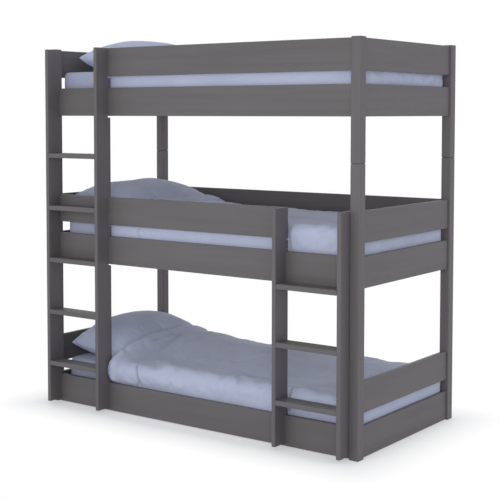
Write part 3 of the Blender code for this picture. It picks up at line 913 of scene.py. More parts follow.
@dataclass
class SlatRoll:
    """The slats of one bed, with two webbing tapes stapled under them."""

    bed: Bed
    count: int = 14
    width: float = 0.070
    thickness: float = 0.018
    arris: float = 0.0025
    tape_width: float = 0.025
    tape_thickness: float = 0.0016
    tape_inset: float = 0.160
    tape_gap: float = 0.0001
    tape_slack: float = 0.0004
    staple_reach: float = 0.008
    staple_wire: float = 0.0009
    staple_shares: tuple[float, float] = (0.28, 0.72)

    def box_into(self, bm: bmesh.types.BMesh, low: Vector, high: Vector, arris: float = 0.0) -> None:
        """Adds a box to a mesh.

        Args:
            bm: The mesh.
            low: Its lowest corner.
            high: Its highest corner.
            arris: The rounding of its edges, if any.
        """
        verts = bmesh.ops.create_cube(bm, size=1.0)["verts"]
        bmesh.ops.scale(bm, vec=high - low, verts=verts)
        bmesh.ops.translate(bm, vec=(low + high) / 2, verts=verts)
        if arris:
            edges = list({e for v in verts for e in v.link_edges})
            bmesh.ops.bevel(bm, geom=edges, offset=arris, segments=2, profile=0.5, affect="EDGES")

    def finish(self, name: str, bm: bmesh.types.BMesh, material: bpy.types.Material) -> bpy.types.Object:
        """Turns a mesh into a piece that rides on the frame.

        Args:
            name: The piece's name.
            bm: Its mesh, which is freed.
            material: Its finish.

        Returns:
            The piece.
        """
        mesh = mesh_from(name, bm, material)
        mesh.shade_smooth()
        mesh.set_sharp_from_angle(angle=math.radians(35))
        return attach(link(name, mesh), "frame")

    def slacken(self, tapes: bmesh.types.BMesh, start: float, pitch: float) -> None:
        """Lets the tapes hang a little between the slats.

        Args:
            tapes: The mesh of both tapes.
            start: Where the first slat starts.
            pitch: The distance from slat to slat.
        """
        long = [e for e in tapes.edges if abs(e.verts[0].co.x - e.verts[1].co.x) > pitch]
        bmesh.ops.subdivide_edges(tapes, edges=long, cuts=self.count * 4)
        for vert in tapes.verts:
            past = (vert.co.x - start) % pitch - self.width
            if past > 0.0:
                vert.co.z -= self.tape_slack * math.sin(math.pi * past / (pitch - self.width))

    def build(self, finishes: Finishes) -> None:
        """Builds the slats, the tapes and the staples.

        Args:
            finishes: The materials.
        """
        node = f"{self.bed.value}_slat_roll"
        low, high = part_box(node)
        under = high.z - self.thickness
        taped = under - self.tape_thickness
        pitch = (high.x - low.x - self.width) / (self.count - 1)
        slats, tapes, staples = bmesh.new(), bmesh.new(), bmesh.new()
        rows = (low.y + self.tape_inset, high.y - self.tape_inset - self.tape_width)
        reach = Vector((self.staple_wire, self.staple_reach, self.staple_wire)) / 2
        for number in range(self.count):
            left = low.x + number * pitch
            end = Vector((left + self.width, high.y, high.z))
            self.box_into(slats, Vector((left, low.y, under)), end, self.arris)
            for row in rows:
                for share in self.staple_shares:
                    middle = Vector((left + self.width * share, row + self.tape_width / 2, taped))
                    self.box_into(staples, middle - reach, middle + reach)
        for row in rows:
            end = Vector((high.x, row + self.tape_width, under - self.tape_gap))
            self.box_into(tapes, Vector((low.x, row, taped)), end)
        self.slacken(tapes, low.x, pitch)
        made = self.finish(f"{node}_slats", slats, finishes.pine)
        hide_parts(node)
        self.finish(f"{node}_tapes", tapes, finishes.webbing)
        self.finish(f"{node}_staples", staples, finishes.steel)
        LOG.info("%s: %d slats, two tapes, %d staples", node, self.count, self.count * 4)


# Bedding


@dataclass
class Mattress:
    """A foam mattress in a fitted sheet, with a nearly flat top, soft edges and gathers at its corners."""

    bed: Bed
    corner_round: float = 0.050
    edge_round: float = 0.026
    cell: float = 0.017
    sag: float = 0.0015
    sag_cell: Run = (0.35, 0.22)
    top_run: Run = (-0.004, 0.004)
    gather: float = 0.0016
    gather_length: float = 0.017
    gather_reach: float = 0.170
    gather_inset: float = 0.03
    gather_slant: float = 1.7
    gather_cell: Run = (0.05, 0.06)
    gather_sway: float = 0.6
    gather_top_share: float = 0.35
    seed: int = 31

    def build(self, finishes: Finishes) -> None:
        """Builds the mattress.

        Args:
            finishes: The materials.
        """
        node = f"{self.bed.value}_mattress"
        low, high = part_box(node)
        size, middle = high - low, (low + high) / 2
        bm = bmesh.new()
        bmesh.ops.create_cube(bm, size=1.0)
        bmesh.ops.scale(bm, vec=size, verts=bm.verts)
        for axis in range(3):
            least = size[axis] * 0.99
            along = [e for e in bm.edges if abs(e.verts[0].co[axis] - e.verts[1].co[axis]) > least]
            bmesh.ops.subdivide_edges(bm, edges=along, cuts=round(size[axis] / self.cell), use_grid_fill=True)
        mesh = mesh_from(node, bm, finishes.sheet)
        points = np.zeros(len(mesh.vertices) * 3)
        mesh.vertices.foreach_get("co", points)
        half = np.array(size) / 2
        points = self.wrinkled(self.rounded(points.reshape(-1, 3), half), half)
        mesh.vertices.foreach_set("co", (points + np.array(middle)).ravel())
        mesh.shade_smooth()
        obj = link(f"{node}_in_sheet", mesh)
        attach(obj, node)
        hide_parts(node)
        LOG.info("%s: %d points", node, len(mesh.vertices))

    def rounded(self, points: Array, half: Array) -> Array:
        """Rounds a box's upright corners and then its edges.

        Args:
            points: Places on the box, about its middle.
            half: Half the box's size.

        Returns:
            The rounded places.
        """
        core = np.clip(points[:, :2], -(half[:2] - self.corner_round), half[:2] - self.corner_round)
        away = points[:, :2] - core
        far = np.linalg.norm(away, axis=1, keepdims=True)
        plan = core + away / np.maximum(far, TINY) * np.minimum(far, self.corner_round - self.edge_round)
        level = np.clip(points[:, 2:], -(half[2] - self.edge_round), half[2] - self.edge_round)
        inner = np.concatenate([plan, level], 1)
        return inner + unit(points - inner) * self.edge_round

    def wrinkled(self, points: Array, half: Array) -> Array:
        """Lets the top sag a little and the sheet gather towards its corners.

        Args:
            points: Places on the rounded mattress, about its middle.
            half: Half its size.

        Returns:
            The places with the sheet's shape.
        """
        x, y, z = points.T
        noise = SoftNoise(self.seed + len(self.bed.value))
        moved = points.copy()
        top = rising(z - half[2], self.top_run)
        moved[:, 2] -= top * self.sag * (0.5 + 0.5 * noise.patch(x, y, self.sag_cell, (20.0, 20.0)))
        near = fading(np.hypot(np.abs(x) - half[0], np.abs(y) - half[1]) / self.gather_reach)
        run = x + y * self.gather_slant
        sway = self.gather_sway * noise.patch(z, run, self.gather_cell, (40.0, 0.0))
        ripple = np.sin(math.tau * (run / self.gather_length + sway))
        lowness = 1.0 - rising(z, (-half[2], 2.0 * half[2]))
        side = (1.0 - top) * (self.gather_top_share + (1.0 - self.gather_top_share) * lowness)
        edge = np.clip(np.abs(points[:, :2]) - (half[:2] - self.gather_inset), 0.0, 1.0) / self.gather_inset
        moved[:, :2] -= np.sign(points[:, :2]) * edge * (near * side * self.gather * (1.0 + ripple))[:, None]
        return moved


@dataclass(frozen=True)
class BeddingFill:
    """How one bed's pillow and duvet are filled and where they bulge."""

    seed: int
    head_seam: float
    crown: float
    loft: float
    head_puff: float
    body_puff: float
    bulge: float = 0.0
    foot_bulge: float = 0.003
    entry_bulge: float = 0.0
    hem_shown: float = 1.0
    turn_back: float = 0.170
    corner_pull: float = 0.0
    hem_groove: float = 0.0
    plump: float = 2.25


FILLS: dict[Bed, BeddingFill] = {
    Bed.BOTTOM: BeddingFill(
        seed=11, head_seam=0.070, crown=0.206, loft=0.028, head_puff=0.022, body_puff=0.049,
        bulge=0.038, entry_bulge=0.018,
    ),
    Bed.MIDDLE: BeddingFill(
        seed=23, head_seam=0.103, crown=0.169, loft=0.024, head_puff=0.038, body_puff=0.003,
        entry_bulge=0.018, turn_back=0.157, corner_pull=0.052, hem_groove=0.0080, plump=2.6,
    ),
    Bed.TOP: BeddingFill(
        seed=37, head_seam=0.080, crown=0.175, loft=0.044, head_puff=0.016, body_puff=0.004,
        foot_bulge=0.034, hem_shown=0.25, corner_pull=0.058,
    ),
}


@dataclass
class PillowForm:
    """The outer form of a pillow that leans on the head board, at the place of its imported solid."""

    bed: Bed
    foot_seam: float = 0.032
    drawn_in: float = 0.07
    belly_share: float = 1.35
    rest_gap: float = 0.0012
    cover_gap: float = 0.006
    cover_share: float = 0.97
    cover_run: float = 0.090

    def __post_init__(self) -> None:
        """Works out the pillow's place and its fullness."""
        self.fill = FILLS[self.bed]
        self.low, self.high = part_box(f"{self.bed.value}_pillow")
        self.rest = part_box(f"{self.bed.value}_mattress")[1].z
        self.crown = self.fill.crown - (self.fill.head_seam + self.foot_seam) / 2
        self.centre = (self.low.x + self.high.x) / 2, (self.low.y + self.high.y) / 2
        self.half = (self.high.x - self.low.x) / 2, (self.high.y - self.low.y) / 2

    def seam(self, u: Array) -> Array:
        """The height of the seam over the mattress, propped up at the head board."""
        return self.fill.head_seam + (self.foot_seam - self.fill.head_seam) * (1.0 + u) / 2.0

    def fullness(self, u: Array, v: Array) -> Array:
        """How full it is: 1 in the middle and 0 at its seam."""
        power = self.fill.plump
        return np.sqrt(np.clip((1.0 - np.abs(u) ** power) * (1.0 - np.abs(v) ** power), 0.0, 1.0))

    def plan(self, u: Array, v: Array) -> tuple[Array, Array]:
        """The plan position of unit coordinates across and along it."""
        x = self.centre[0] + self.half[0] * u * (1.0 - self.drawn_in * (1.0 - v * v) * u * u)
        return x, self.centre[1] + self.half[1] * v * (1.0 - self.drawn_in * (1.0 - u * u) * v * v)

    def top(self, u: Array, v: Array) -> Array:
        """The height of its upper face."""
        return self.rest + self.seam(u) + self.crown * self.fullness(u, v)

    def underside(self, u: Array, v: Array) -> Array:
        """The height of its lower face, flat where it rests."""
        belly = self.fill.head_seam * self.belly_share
        return np.maximum(self.rest + self.rest_gap, self.rest + self.seam(u) - belly * self.fullness(u, v))

    def cover(self, x: Array, y: Array) -> Array:
        """The height that a cloth over it must clear.

        Args:
            x: Plan positions along the bed.
            y: Plan positions across it.

        Returns:
            The heights, which fall away past the pillow's edges.
        """
        u = self.cover_share * np.clip((x - self.centre[0]) / self.half[0], -1.0, 1.0)
        v = self.cover_share * np.clip((y - self.centre[1]) / self.half[1], -1.0, 1.0)
        past_x = np.maximum(0.0, np.abs(x - self.centre[0]) - self.half[0])
        past_y = np.maximum(0.0, np.abs(y - self.centre[1]) - self.half[1])
        height = self.top(u, v) + self.cover_gap
        return self.rest + (height - self.rest) * fading(np.hypot(past_x, past_y) / self.cover_run)


@dataclass
class Pillow:
    """A plump pillow: two cloths sewn round their edge, with puckers that run in from the seam."""

    bed: Bed
    cells: tuple[int, int] = (66, 92)
    crowding: float = 0.55
    pucker: float = 0.0022
    pucker_length: float = 0.034
    pucker_reach: float = 0.085
    pucker_fall: float = 1.3
    pucker_sway: float = 0.9
    pucker_sway_cell: Run = (0.09, 0.12)
    pucker_patch: float = 0.11
    pucker_even: float = 0.55
    dent: float = 0.006
    dent_cell: Run = (0.17, 0.21)
    crumple: float = 0.0016
    crumple_cell: Run = (0.055, 0.085)
    crumple_sway: float = 0.8
    crumple_sway_cell: Run = (0.1, 0.1)
    calm_rim: float = 12.0
    rest_gap: float = 0.0006
    resting: float = 0.004
    reach: float = 0.010
    case_reach: float = 0.012
    cover_ahead: float = 0.010
    pressed: float = 0.0035
    run: ClothRun = ClothRun(slack=0.035, pressure=4.0, bending=0.3)

    def build(self, finishes: Finishes) -> None:
        """Builds the pillow.

        Args:
            finishes: The materials.
        """
        node = f"{self.bed.value}_pillow"
        form = PillowForm(self.bed)
        u, v = self.stations()
        x, y = form.plan(u, v)
        upper = np.stack([x, y, form.top(u, v)], 2)
        lower = np.stack([x, y, form.underside(u, v)], 2)
        calm = np.clip((1.0 - np.maximum(np.abs(u), np.abs(v))) * self.calm_rim, 0.0, 1.0)
        depth = self.puckers(form, u, v)
        upper += normals_of(upper) * depth[..., None] * calm[..., None]
        free = lower[..., 2] > form.rest + self.resting
        lower[..., 2] = np.maximum(form.rest + self.rest_gap, lower[..., 2] - depth * free * calm)
        upper, lower = self.settled(form, upper, lower, finishes.pillowcase)
        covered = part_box(f"{self.bed.value}_duvet")[0].x - form.fill.corner_pull - self.cover_ahead
        pressed = np.minimum(upper[..., 2], form.top(u, v) + self.pressed)
        upper[..., 2] = np.where(x > covered, pressed, upper[..., 2])
        obj = add_piece(f"{node}_case", *seamed(upper, lower), finishes.pillowcase)
        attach(obj, node)
        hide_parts(node)
        LOG.info("%s: %d points", node, len(obj.data.vertices))

    def stations(self) -> tuple[Array, Array]:
        """Unit coordinates over the pillow, closer together at its seam.

        Returns:
            The coordinates across and along it, as two grids.
        """
        even = [np.linspace(-1.0, 1.0, count + 1) for count in self.cells]
        crowded = [self.crowding * np.sin(e * math.pi / 2) + (1.0 - self.crowding) * e for e in even]
        return np.meshgrid(*crowded, indexing="ij")

    def puckers(self, form: PillowForm, u: Array, v: Array) -> Array:
        """How far the cloth stands in or out: puckers at the seam, slow dents and crumples further in.

        Args:
            form: The pillow's form.
            u: Unit coordinates across.
            v: Unit coordinates along.

        Returns:
            The depths.
        """
        noise = SoftNoise(form.fill.seed)
        x, y = form.plan(u, v)
        depth = np.zeros_like(u)
        for edge, run, half in ((1.0 - np.abs(u), y, form.half[0]), (1.0 - np.abs(v), x, form.half[1])):
            away = edge * half
            sway = self.pucker_sway * noise.patch(run, away, self.pucker_sway_cell, (30.0, 30.0))
            wave = np.sin(math.tau * (run / self.pucker_length + sway))
            patchy = noise.line(run, self.pucker_patch, 60.0, 5.0)
            strength = self.pucker_even + (1.0 - self.pucker_even) * patchy
            depth += self.pucker * wave * strength * np.exp(-((away / self.pucker_reach) ** self.pucker_fall))
        depth += self.dent * noise.patch(x, y, self.dent_cell, (12.0, 7.0))
        sway = self.crumple_sway * noise.patch(x, y, self.crumple_sway_cell, (0.0, 0.0))
        cell = self.crumple_cell
        return depth + self.crumple * creased(noise.at(x / cell[0] + 3.0 + sway, y / cell[1] + 50.0))

    def settled(
        self, form: PillowForm, upper: Array, lower: Array, material: bpy.types.Material
    ) -> tuple[Array, Array]:
        """Lets the case buckle over its filling.

        Args:
            form: The pillow's form.
            upper: Its upper face.
            lower: Its lower face.
            material: Its finish.

        Returns:
            Both faces after the cloth run.
        """
        inner = inside_rim(*upper.shape[:2])
        resting = (lower[..., 2] < form.rest + self.resting)[inner]
        held = np.concatenate([np.zeros(inner.size), resting.astype(float)])
        places = self.run.settle(*seamed(upper, lower), held, material)
        top = places[: inner.size].reshape(upper.shape)
        under = top.copy()
        under[inner] = places[inner.size :]
        top = self.run.wrinkles(upper, top, self.reach)
        under = self.run.wrinkles(lower, under, self.reach)
        under[~inner] = top[~inner]
        for face in (top, under):
            face[..., 2] = np.maximum(face[..., 2], form.rest + self.rest_gap)
            face[..., 0] = np.maximum(face[..., 0], form.low.x - self.case_reach)
        return top, under


@dataclass
class DuvetForm:
    """The form of a duvet that is laid over a mattress and a pillow's end, and tucked down at three sides."""

    bed: Bed
    roll: float = 0.012
    corner_round: float = 0.050
    edge_round: float = 0.026
    side_thickness: float = 0.011
    clearance: float = 0.0015
    pressed: float = 0.010
    thinnest: float = 0.012
    blend: int = 4
    head_bow: float = 0.025
    head_puff_run: Run = (0.200, 0.220)
    head_puff_share: Run = (0.12, 1.05)
    head_puff_powers: Run = (2.4, 1.5)
    body_puff_run: Run = (0.700, 0.400)
    body_front_share: Run = (0.10, 0.75)
    body_rear_share: Run = (0.45, 0.55)
    ridge_low: float = 0.006
    ridge_high: float = 0.013
    ridge_run: Run = (0.18, 0.55)
    ridge_start: Run = (0.10, 0.35)
    ridge_place: Run = (0.010, 0.055)
    ridge_patch: float = 0.33
    ridge_even: float = 0.8
    ridge_sway: float = 0.35
    hollow_depth: float = 0.016
    hollow_place: Run = (0.170, 0.090)
    pull_along: Run = (0.0, 0.30)
    pull_across: Run = (0.0, 0.16)

    def __post_init__(self) -> None:
        """Works out the places that the sheet wraps round."""
        self.fill = FILLS[self.bed]
        self.pillow = PillowForm(self.bed)
        self.low, self.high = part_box(f"{self.bed.value}_duvet")
        under_low, under_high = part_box(f"{self.bed.value}_mattress")
        self.rail_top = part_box(f"{self.bed.value}_front_side_rail")[1].z
        self.rest = under_high.z
        self.shoulder = self.rest - self.edge_round
        self.head = self.low.x + self.roll
        self.foot_core = under_high.x - self.corner_round
        self.front_core = under_low.y + self.corner_round
        self.rear_core = under_high.y - self.corner_round
        self.middle = (self.front_core + self.rear_core) / 2
        self.length = self.foot_core - self.head
        self.width = self.rear_core - self.front_core
        self.flat = self.corner_round - self.edge_round
        self.arc = (self.edge_round + self.side_thickness) * math.pi / 2
        self.wrap = self.flat + self.arc + (self.shoulder - self.low.z)
        self.noise = SoftNoise(self.fill.seed + 100)

    def share_across(self, y: Array) -> Array:
        """Where a place lies across the bed: -1 at the front core line and 1 at the rear one."""
        return (y - self.middle) / (self.rear_core - self.middle)

    def puff(self, x: Array, y: Array) -> Array:
        """How high the filling is heaped over its loft.

        Args:
            x: Plan positions along the bed.
            y: Plan positions across it.

        Returns:
            The heights of the heap near the pillow and of the lower one along the body.
        """
        across = self.share_across(y)
        past = x - self.head
        head = self.fill.head_puff * falling(past, self.head_puff_run)
        body = self.fill.body_puff * falling(past, self.body_puff_run)
        middle, half = self.head_puff_share
        flank, crest = self.head_puff_powers
        wide = np.clip(1.0 - np.abs((across - middle) / half) ** flank, 0.0, 1.0) ** crest
        start, run = self.body_front_share
        return head * wide + body * fading((start - across) / run) * falling(across, self.body_rear_share)

    def ridge(self, x: Array, y: Array) -> Array:
        """The soft roll of filling along the front edge and the hollow behind it.

        Args:
            x: Plan positions along the bed.
            y: Plan positions across it.

        Returns:
            The heights, below zero in the hollow.
        """
        past, front = x - self.head, y - self.front_core
        height = self.ridge_low + self.ridge_high * falling(past, self.ridge_run)
        roll = height * hump(front, self.ridge_place)
        hollow = self.hollow_depth * hump(front, self.hollow_place)
        uneven = self.ridge_even + self.ridge_sway * self.noise.line(x, self.ridge_patch, 9.0, 2.0)
        return (roll - hollow) * (1.0 - falling(past, self.ridge_start)) * uneven

    def lower_top(self, x: Array, y: Array) -> Array:
        """The height of the underside over the mattress or the pillow."""
        return np.maximum(self.rest, self.pillow.cover(x, y)) + self.clearance

    def upper_top(self, x: Array, y: Array) -> Array:
        """The height of the outer face.

        Args:
            x: Plan positions along the bed.
            y: Plan positions across it.

        Returns:
            The heights: pressed thin on the pillow and heaped up beside it.
        """
        pressed = self.lower_top(x, y) - self.rest + self.pressed
        heaped = np.maximum(self.fill.loft + self.puff(x, y) + self.ridge(x, y), self.thinnest)
        return self.rest + (pressed**self.blend + heaped**self.blend) ** (1.0 / self.blend)

    def bow(self, x: Array, y: Array) -> Array:
        """How far the head edge is moved towards the foot.

        Args:
            x: Plan positions along the bed.
            y: Plan positions across it.

        Returns:
            The pillow's push, less the pull at the front corner.
        """
        across = self.share_across(y)
        pushed = self.head_bow * np.clip(1.0 - across**2, 0.0, 1.0) * (self.foot_core - x) / self.length
        pulled = self.fill.corner_pull * falling(x - self.head, self.pull_along)
        return pushed - pulled * falling(y - self.front_core, self.pull_across)

    def wrapped(self, along: Array, across: Array, height: Height, offset: float) -> Array:
        """Places of the sheet from its own two directions.

        Args:
            along: Distances from the head edge, measured over the cloth.
            across: Distances from the front core line, below zero where the cloth goes down the front.
            height: The height of the top at a plan position.
            offset: How far the side stands off the mattress.

        Returns:
            Places shaped as the two grids, with a last direction of three.
        """
        x = self.head + np.clip(along, 0.0, self.length)
        y = self.front_core + np.clip(across, 0.0, self.width)
        past_x = np.maximum(along - self.length, 0.0)
        past_y = np.minimum(across, 0.0) + np.maximum(across - self.width, 0.0)
        x = x + self.bow(x, y)
        past = np.maximum(past_x, np.abs(past_y))
        turned = rising(past, (self.flat, self.arc)) * math.pi / 2
        level = self.shoulder + (height(x, y) - self.shoulder) * np.cos(turned)
        level -= np.maximum(past - self.flat - self.arc, 0.0)
        reach = np.minimum(past, self.flat) + (self.edge_round + offset) * np.sin(turned)
        norm = np.maximum(np.hypot(past_x, past_y), TINY)
        return np.stack([x + past_x / norm * reach, y + past_y / norm * reach, level], -1)


@dataclass
class Duvet:
    """A filled duvet in its cover, its head end turned back and its sides tucked in beside the mattress."""

    bed: Bed
    cell: float = 0.0105
    hem_cell: float = 0.0021
    hem_run: float = 0.045
    fold: float = 0.0036
    fold_slant: Run = (0.45, 0.3)
    fold_sway: float = 0.05
    fold_sharpness: float = 2.2
    crumple: float = 0.0022
    fine: float = 0.0009
    side_calm: float = 0.6
    head_dip: float = 0.007
    head_dip_place: Run = (0.058, 0.019)
    head_dip_sway: float = 0.02
    head_roll: float = 0.012
    head_roll_place: Run = (0.022, 0.024)
    head_roll_run: Run = (-0.02, 0.45)
    hem_sway: float = 0.003
    hem_side_sway: float = 0.010
    hem_side_shift: float = 0.028
    flap: float = 0.008
    flap_edge: float = 0.004
    flap_on_top: float = 0.30
    groove: float = 0.0012
    roomy_groove: float = 0.019
    groove_place: Run = (0.0045, 0.0042)
    deepest: float = 0.007
    roomy_deepest: float = 0.018
    head_calm: Run = (0.0, 0.015)
    tuck_run: Run = (-0.02, 0.02)
    reach: float = 0.0075
    hold: float = 0.05
    tuck_hold: float = 0.35
    rings: int = 5
    stile_ends: Run = (-0.5617, 0.5617)
    entry_ends: Run = (0.5827, 0.9217)
    rail_gap: float = 0.003
    belly_top: float = 0.055
    belly_powers: Run = (1.15, 0.8)
    belly_least: float = 0.45
    belly_start: Run = (0.0, 0.012)
    belly_run: Run = (0.10, 0.60)
    belly_end: Run = (-0.20, 0.18)
    belly_front: Run = (-0.02, 0.08)
    belly_rise: Run = (0.004, 0.016)
    belly_room: float = 0.006
    entry_start: Run = (0.003, 0.026)
    entry_inset: float = 0.004
    entry_fall: float = 0.04
    entry_place: Run = (0.01, 0.06)
    entry_raise: float = 0.5
    foot_inset: float = 0.006
    foot_fall: float = 0.22
    stile_gaps: Run = (0.001, 0.012)
    entry_gap: float = 0.002
    post_gap: float = 0.004
    lying_above: float = 0.006
    least_filling: float = 0.004
    run: ClothRun = ClothRun(slack=0.05, pressure=0.0, kept_form=0.0)

    def build(self, finishes: Finishes) -> None:
        """Builds the duvet.

        Args:
            finishes: The materials.
        """
        node = f"{self.bed.value}_duvet"
        form = DuvetForm(self.bed)
        along, across = self.stations(form)
        plain = form.wrapped(along, across, form.upper_top, form.clearance + form.side_thickness)
        inner = form.wrapped(along, across, form.lower_top, form.clearance)
        past = np.maximum(np.maximum(-across, across - form.width), along - form.length)
        on_side = rising(past, (form.flat, form.arc))
        outer = self.bulged(form, plain)
        room = np.clip(np.linalg.norm(outer - plain, axis=2) / self.roomy_deepest, 0.0, 1.0)
        depth = self.relief(form, along, across, on_side, room) * rising(along, self.head_calm)
        depth = depth * rising(outer[..., 2] - form.rail_top, self.tuck_run)
        depth = np.maximum(depth, -self.deepest - self.roomy_deepest * room)
        outer = outer + normals_of(outer) * depth[..., None]
        outer = self.settled(outer, along[:, 0], on_side * (1.0 - room), finishes.cover)
        outer = self.kept_clear(form, outer, inner)
        obj = add_piece(f"{node}_cover", *rolled(outer, inner, form.roll, self.rings), finishes.cover)
        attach(obj, node)
        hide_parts(node)
        LOG.info("%s: %d points", node, len(obj.data.vertices))

    def stations(self, form: DuvetForm) -> tuple[Array, Array]:
        """Distances over the cloth, closer together where the turned-back hem lies.

        Args:
            form: The duvet's form.

        Returns:
            Distances along the bed and across it, as two grids.
        """
        length = form.length + form.wrap
        hem = form.fill.turn_back
        parts = (
            np.arange(0.0, hem - self.hem_run, self.cell),
            np.arange(hem - self.hem_run, hem + self.hem_run, self.hem_cell),
            np.linspace(hem + self.hem_run, length, round((length - hem) / self.cell)),
        )
        width = form.width + form.wrap * 2
        across = np.linspace(-form.wrap, width - form.wrap, round(width / self.cell))
        return np.meshgrid(np.concatenate(parts), across, indexing="ij")

    def relief(self, form: DuvetForm, along: Array, across: Array, on_side: Array, room: Array) -> Array:
        """How far the cloth stands in or out of its plain form.

        Args:
            form: The duvet's form.
            along: Distances along the bed.
            across: Distances across it.
            on_side: How far the cloth has turned down, from 0 to 1.
            room: How much filling there is for a deep crease, from 0 to 1.

        Returns:
            The depths: the turned-back end, long folds and crumples.
        """
        noise = form.noise
        sway = self.fold_sway * noise.patch(along, across, cell=(0.5, 0.35), start=(15.0, 15.0))
        skewed = along + self.fold_slant[0] * across + sway, across - self.fold_slant[1] * along
        long_fold = noise.patch(*skewed, cell=(0.26, 0.75), start=(40.0, 5.0))
        fold = self.fold * (1.0 - self.fold_sharpness * np.abs(long_fold))
        crumple = creased(noise.patch(along, across + 0.5 * along, cell=(0.075, 0.12), start=(70.0, 70.0)))
        fine = self.fine * noise.patch(along, across, cell=(0.028, 0.034), start=(3.0, 3.0))
        dip = self.head_dip_place[0] + self.head_dip_sway * noise.line(across, cell=0.2, start=8.0, row=0.0)
        dipped = -self.head_dip * hump(along, (dip, self.head_dip_place[1]))
        puffed = self.head_roll * hump(along, self.head_roll_place) * falling(across, self.head_roll_run)
        hem = form.fill.turn_back + self.hem_sway * noise.line(across, cell=0.06, start=20.0, row=1.0)
        side_sway = self.hem_side_sway * on_side * noise.line(across, cell=0.021, start=40.0, row=1.0)
        hem = hem + self.hem_side_shift * on_side * room + side_sway
        shown = self.flap_on_top + (1.0 - self.flap_on_top) * on_side * form.fill.hem_shown
        flap = self.flap * (1.0 - np.clip((along - hem) / self.flap_edge + 0.5, 0.0, 1.0)) * shown
        groove = self.groove + (self.roomy_groove * room + form.fill.hem_groove) * on_side
        groove = -groove * hump(along - hem, self.groove_place)
        calm = 1.0 - self.side_calm * on_side
        return (fold + self.crumple * crumple + fine) * calm + dipped + puffed + flap + groove

    def settled(self, outer: Array, along: Array, tight: Array, material: bpy.types.Material) -> Array:
        """Lets the cover buckle over its filling, more on top than at its tucked sides.

        Args:
            outer: The outer face.
            along: The distance of each of its rows from the head edge.
            tight: How tightly each point is tucked in, from 0 to 1.
            material: Its finish.

        Returns:
            The outer face with the wrinkles of the cloth run.
        """
        even = np.linspace(0.0, along[-1], round(along[-1] / self.cell))
        sheet = resampled(outer, along, even)
        held = self.hold + self.tuck_hold * resampled(tight, along, even)
        held[~inside_rim(*held.shape)] = 1.0
        places = self.run.settle(sheet.reshape(-1, 3), grid_faces(*held.shape), held.ravel(), material)
        wrinkled = self.run.wrinkles(sheet, places.reshape(sheet.shape), self.reach)
        return outer + resampled(wrinkled - sheet, even, along)

    def bulged(self, form: DuvetForm, outer: Array) -> Array:
        """Lets the front side belly out over the rail between the ladders, and fills the foot end.

        Args:
            form: The duvet's form.
            outer: The outer face.

        Returns:
            The outer face with its bellies.
        """
        x, y, z = outer[..., 0], outer[..., 1], outer[..., 2]
        foot = form.rail_top + self.rail_gap
        height = rising(z, (foot, form.rest + self.belly_top - foot))
        lean, fullness = self.belly_powers
        belly = np.clip(np.sin(math.pi * height**lean), 0.0, 1.0) ** fullness
        front = falling(y - form.front_core, self.belly_front)
        left, right = self.stile_ends
        depth = self.belly_least + (1.0 - self.belly_least) * falling(x - left, self.belly_run)
        along = rising(x - left, self.belly_start) * depth * falling(x - right, self.belly_end)
        first, last = self.entry_ends
        leaving = 1.0 - fading((last - self.entry_inset - x) / self.entry_fall)
        entry = (1.0 - falling(x - first, self.entry_start)) * leaving
        lit_threads = self.entry_raise * form.fill.entry_bulge * entry * hump(y - form.front_core, self.entry_place)
        moved = outer.copy()
        moved[..., 0] += form.fill.foot_bulge * fading((form.high.x - self.foot_inset - x) / self.foot_fall)
        moved[..., 1] -= form.fill.bulge * along * belly * front
        moved[..., 1] -= form.fill.entry_bulge * entry * belly * front
        moved[..., 2] += lit_threads * (z > form.shoulder)
        return moved

    def kept_clear(self, form: DuvetForm, outer: Array, inner: Array) -> Array:
        """Keeps the outer face off the boards, the ladder stiles, the foot posts and its own inner face.

        Args:
            form: The duvet's form.
            outer: The outer face.
            inner: The inner face.

        Returns:
            The outer face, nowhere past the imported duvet's sides except in its bellies.
        """
        moved = outer.copy()
        x, z = outer[..., 0], outer[..., 2]
        high = z > form.rail_top + self.rail_gap
        left, right = self.stile_ends
        first, last = self.entry_ends
        between = (x > left + self.stile_gaps[0]) & (x < right - self.stile_gaps[1])
        entry = (x > first + self.entry_gap) & (x < last - self.entry_gap) & high
        risen = rising(z - form.rail_top, self.belly_rise)
        free = between & high & (form.fill.bulge > 0.0)
        limit = np.where(free, form.low.y - (form.fill.bulge + self.belly_room) * risen, form.low.y)
        limit = np.where(entry, form.low.y - form.fill.entry_bulge * risen, limit)
        moved[..., 1] = np.clip(outer[..., 1], limit, form.high.y)
        moved[..., 0] = np.minimum(x, form.high.x + form.fill.foot_bulge)
        front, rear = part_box("lower_post_front_right"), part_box("lower_post_rear_right")
        for inside, edge in ((1.0, front[1].y), (-1.0, rear[0].y)):
            past_x = moved[..., 0] - (front[0].x - self.post_gap)
            past_y = (edge + inside * self.post_gap - moved[..., 1]) * inside
            both = (past_x > 0.0) & (past_y > 0.0)
            moved[..., 0] -= np.where(both & (past_x <= past_y), past_x, 0.0)
            moved[..., 1] += np.where(both & (past_x > past_y), past_y, 0.0) * inside
        lying = moved[..., 2] > form.rest + self.lying_above
        filled = np.maximum(moved[..., 2], inner[..., 2] + self.least_filling)
        moved[..., 2] = np.where(lying, filled, moved[..., 2])
        return moved


# Studio


@dataclass(frozen=True)
class Lamp:
    """A square soft lamp that looks at the bed's middle."""

    name: str
    place: tuple[float, float, float]
    power: float
    size: float = 3.0
    target: tuple[float, float, float] = (0.0, 0.0, 0.9)

    def hang(self) -> None:
        """Hangs the lamp."""
        lamp = bpy.data.lights.new(self.name, "AREA")
        lamp.energy, lamp.size = self.power, self.size
        obj = link(self.name, lamp)
        obj.location = self.place
        obj.rotation_euler = (Vector(self.target) - Vector(self.place)).to_track_quat("-Z", "Y").to_euler()


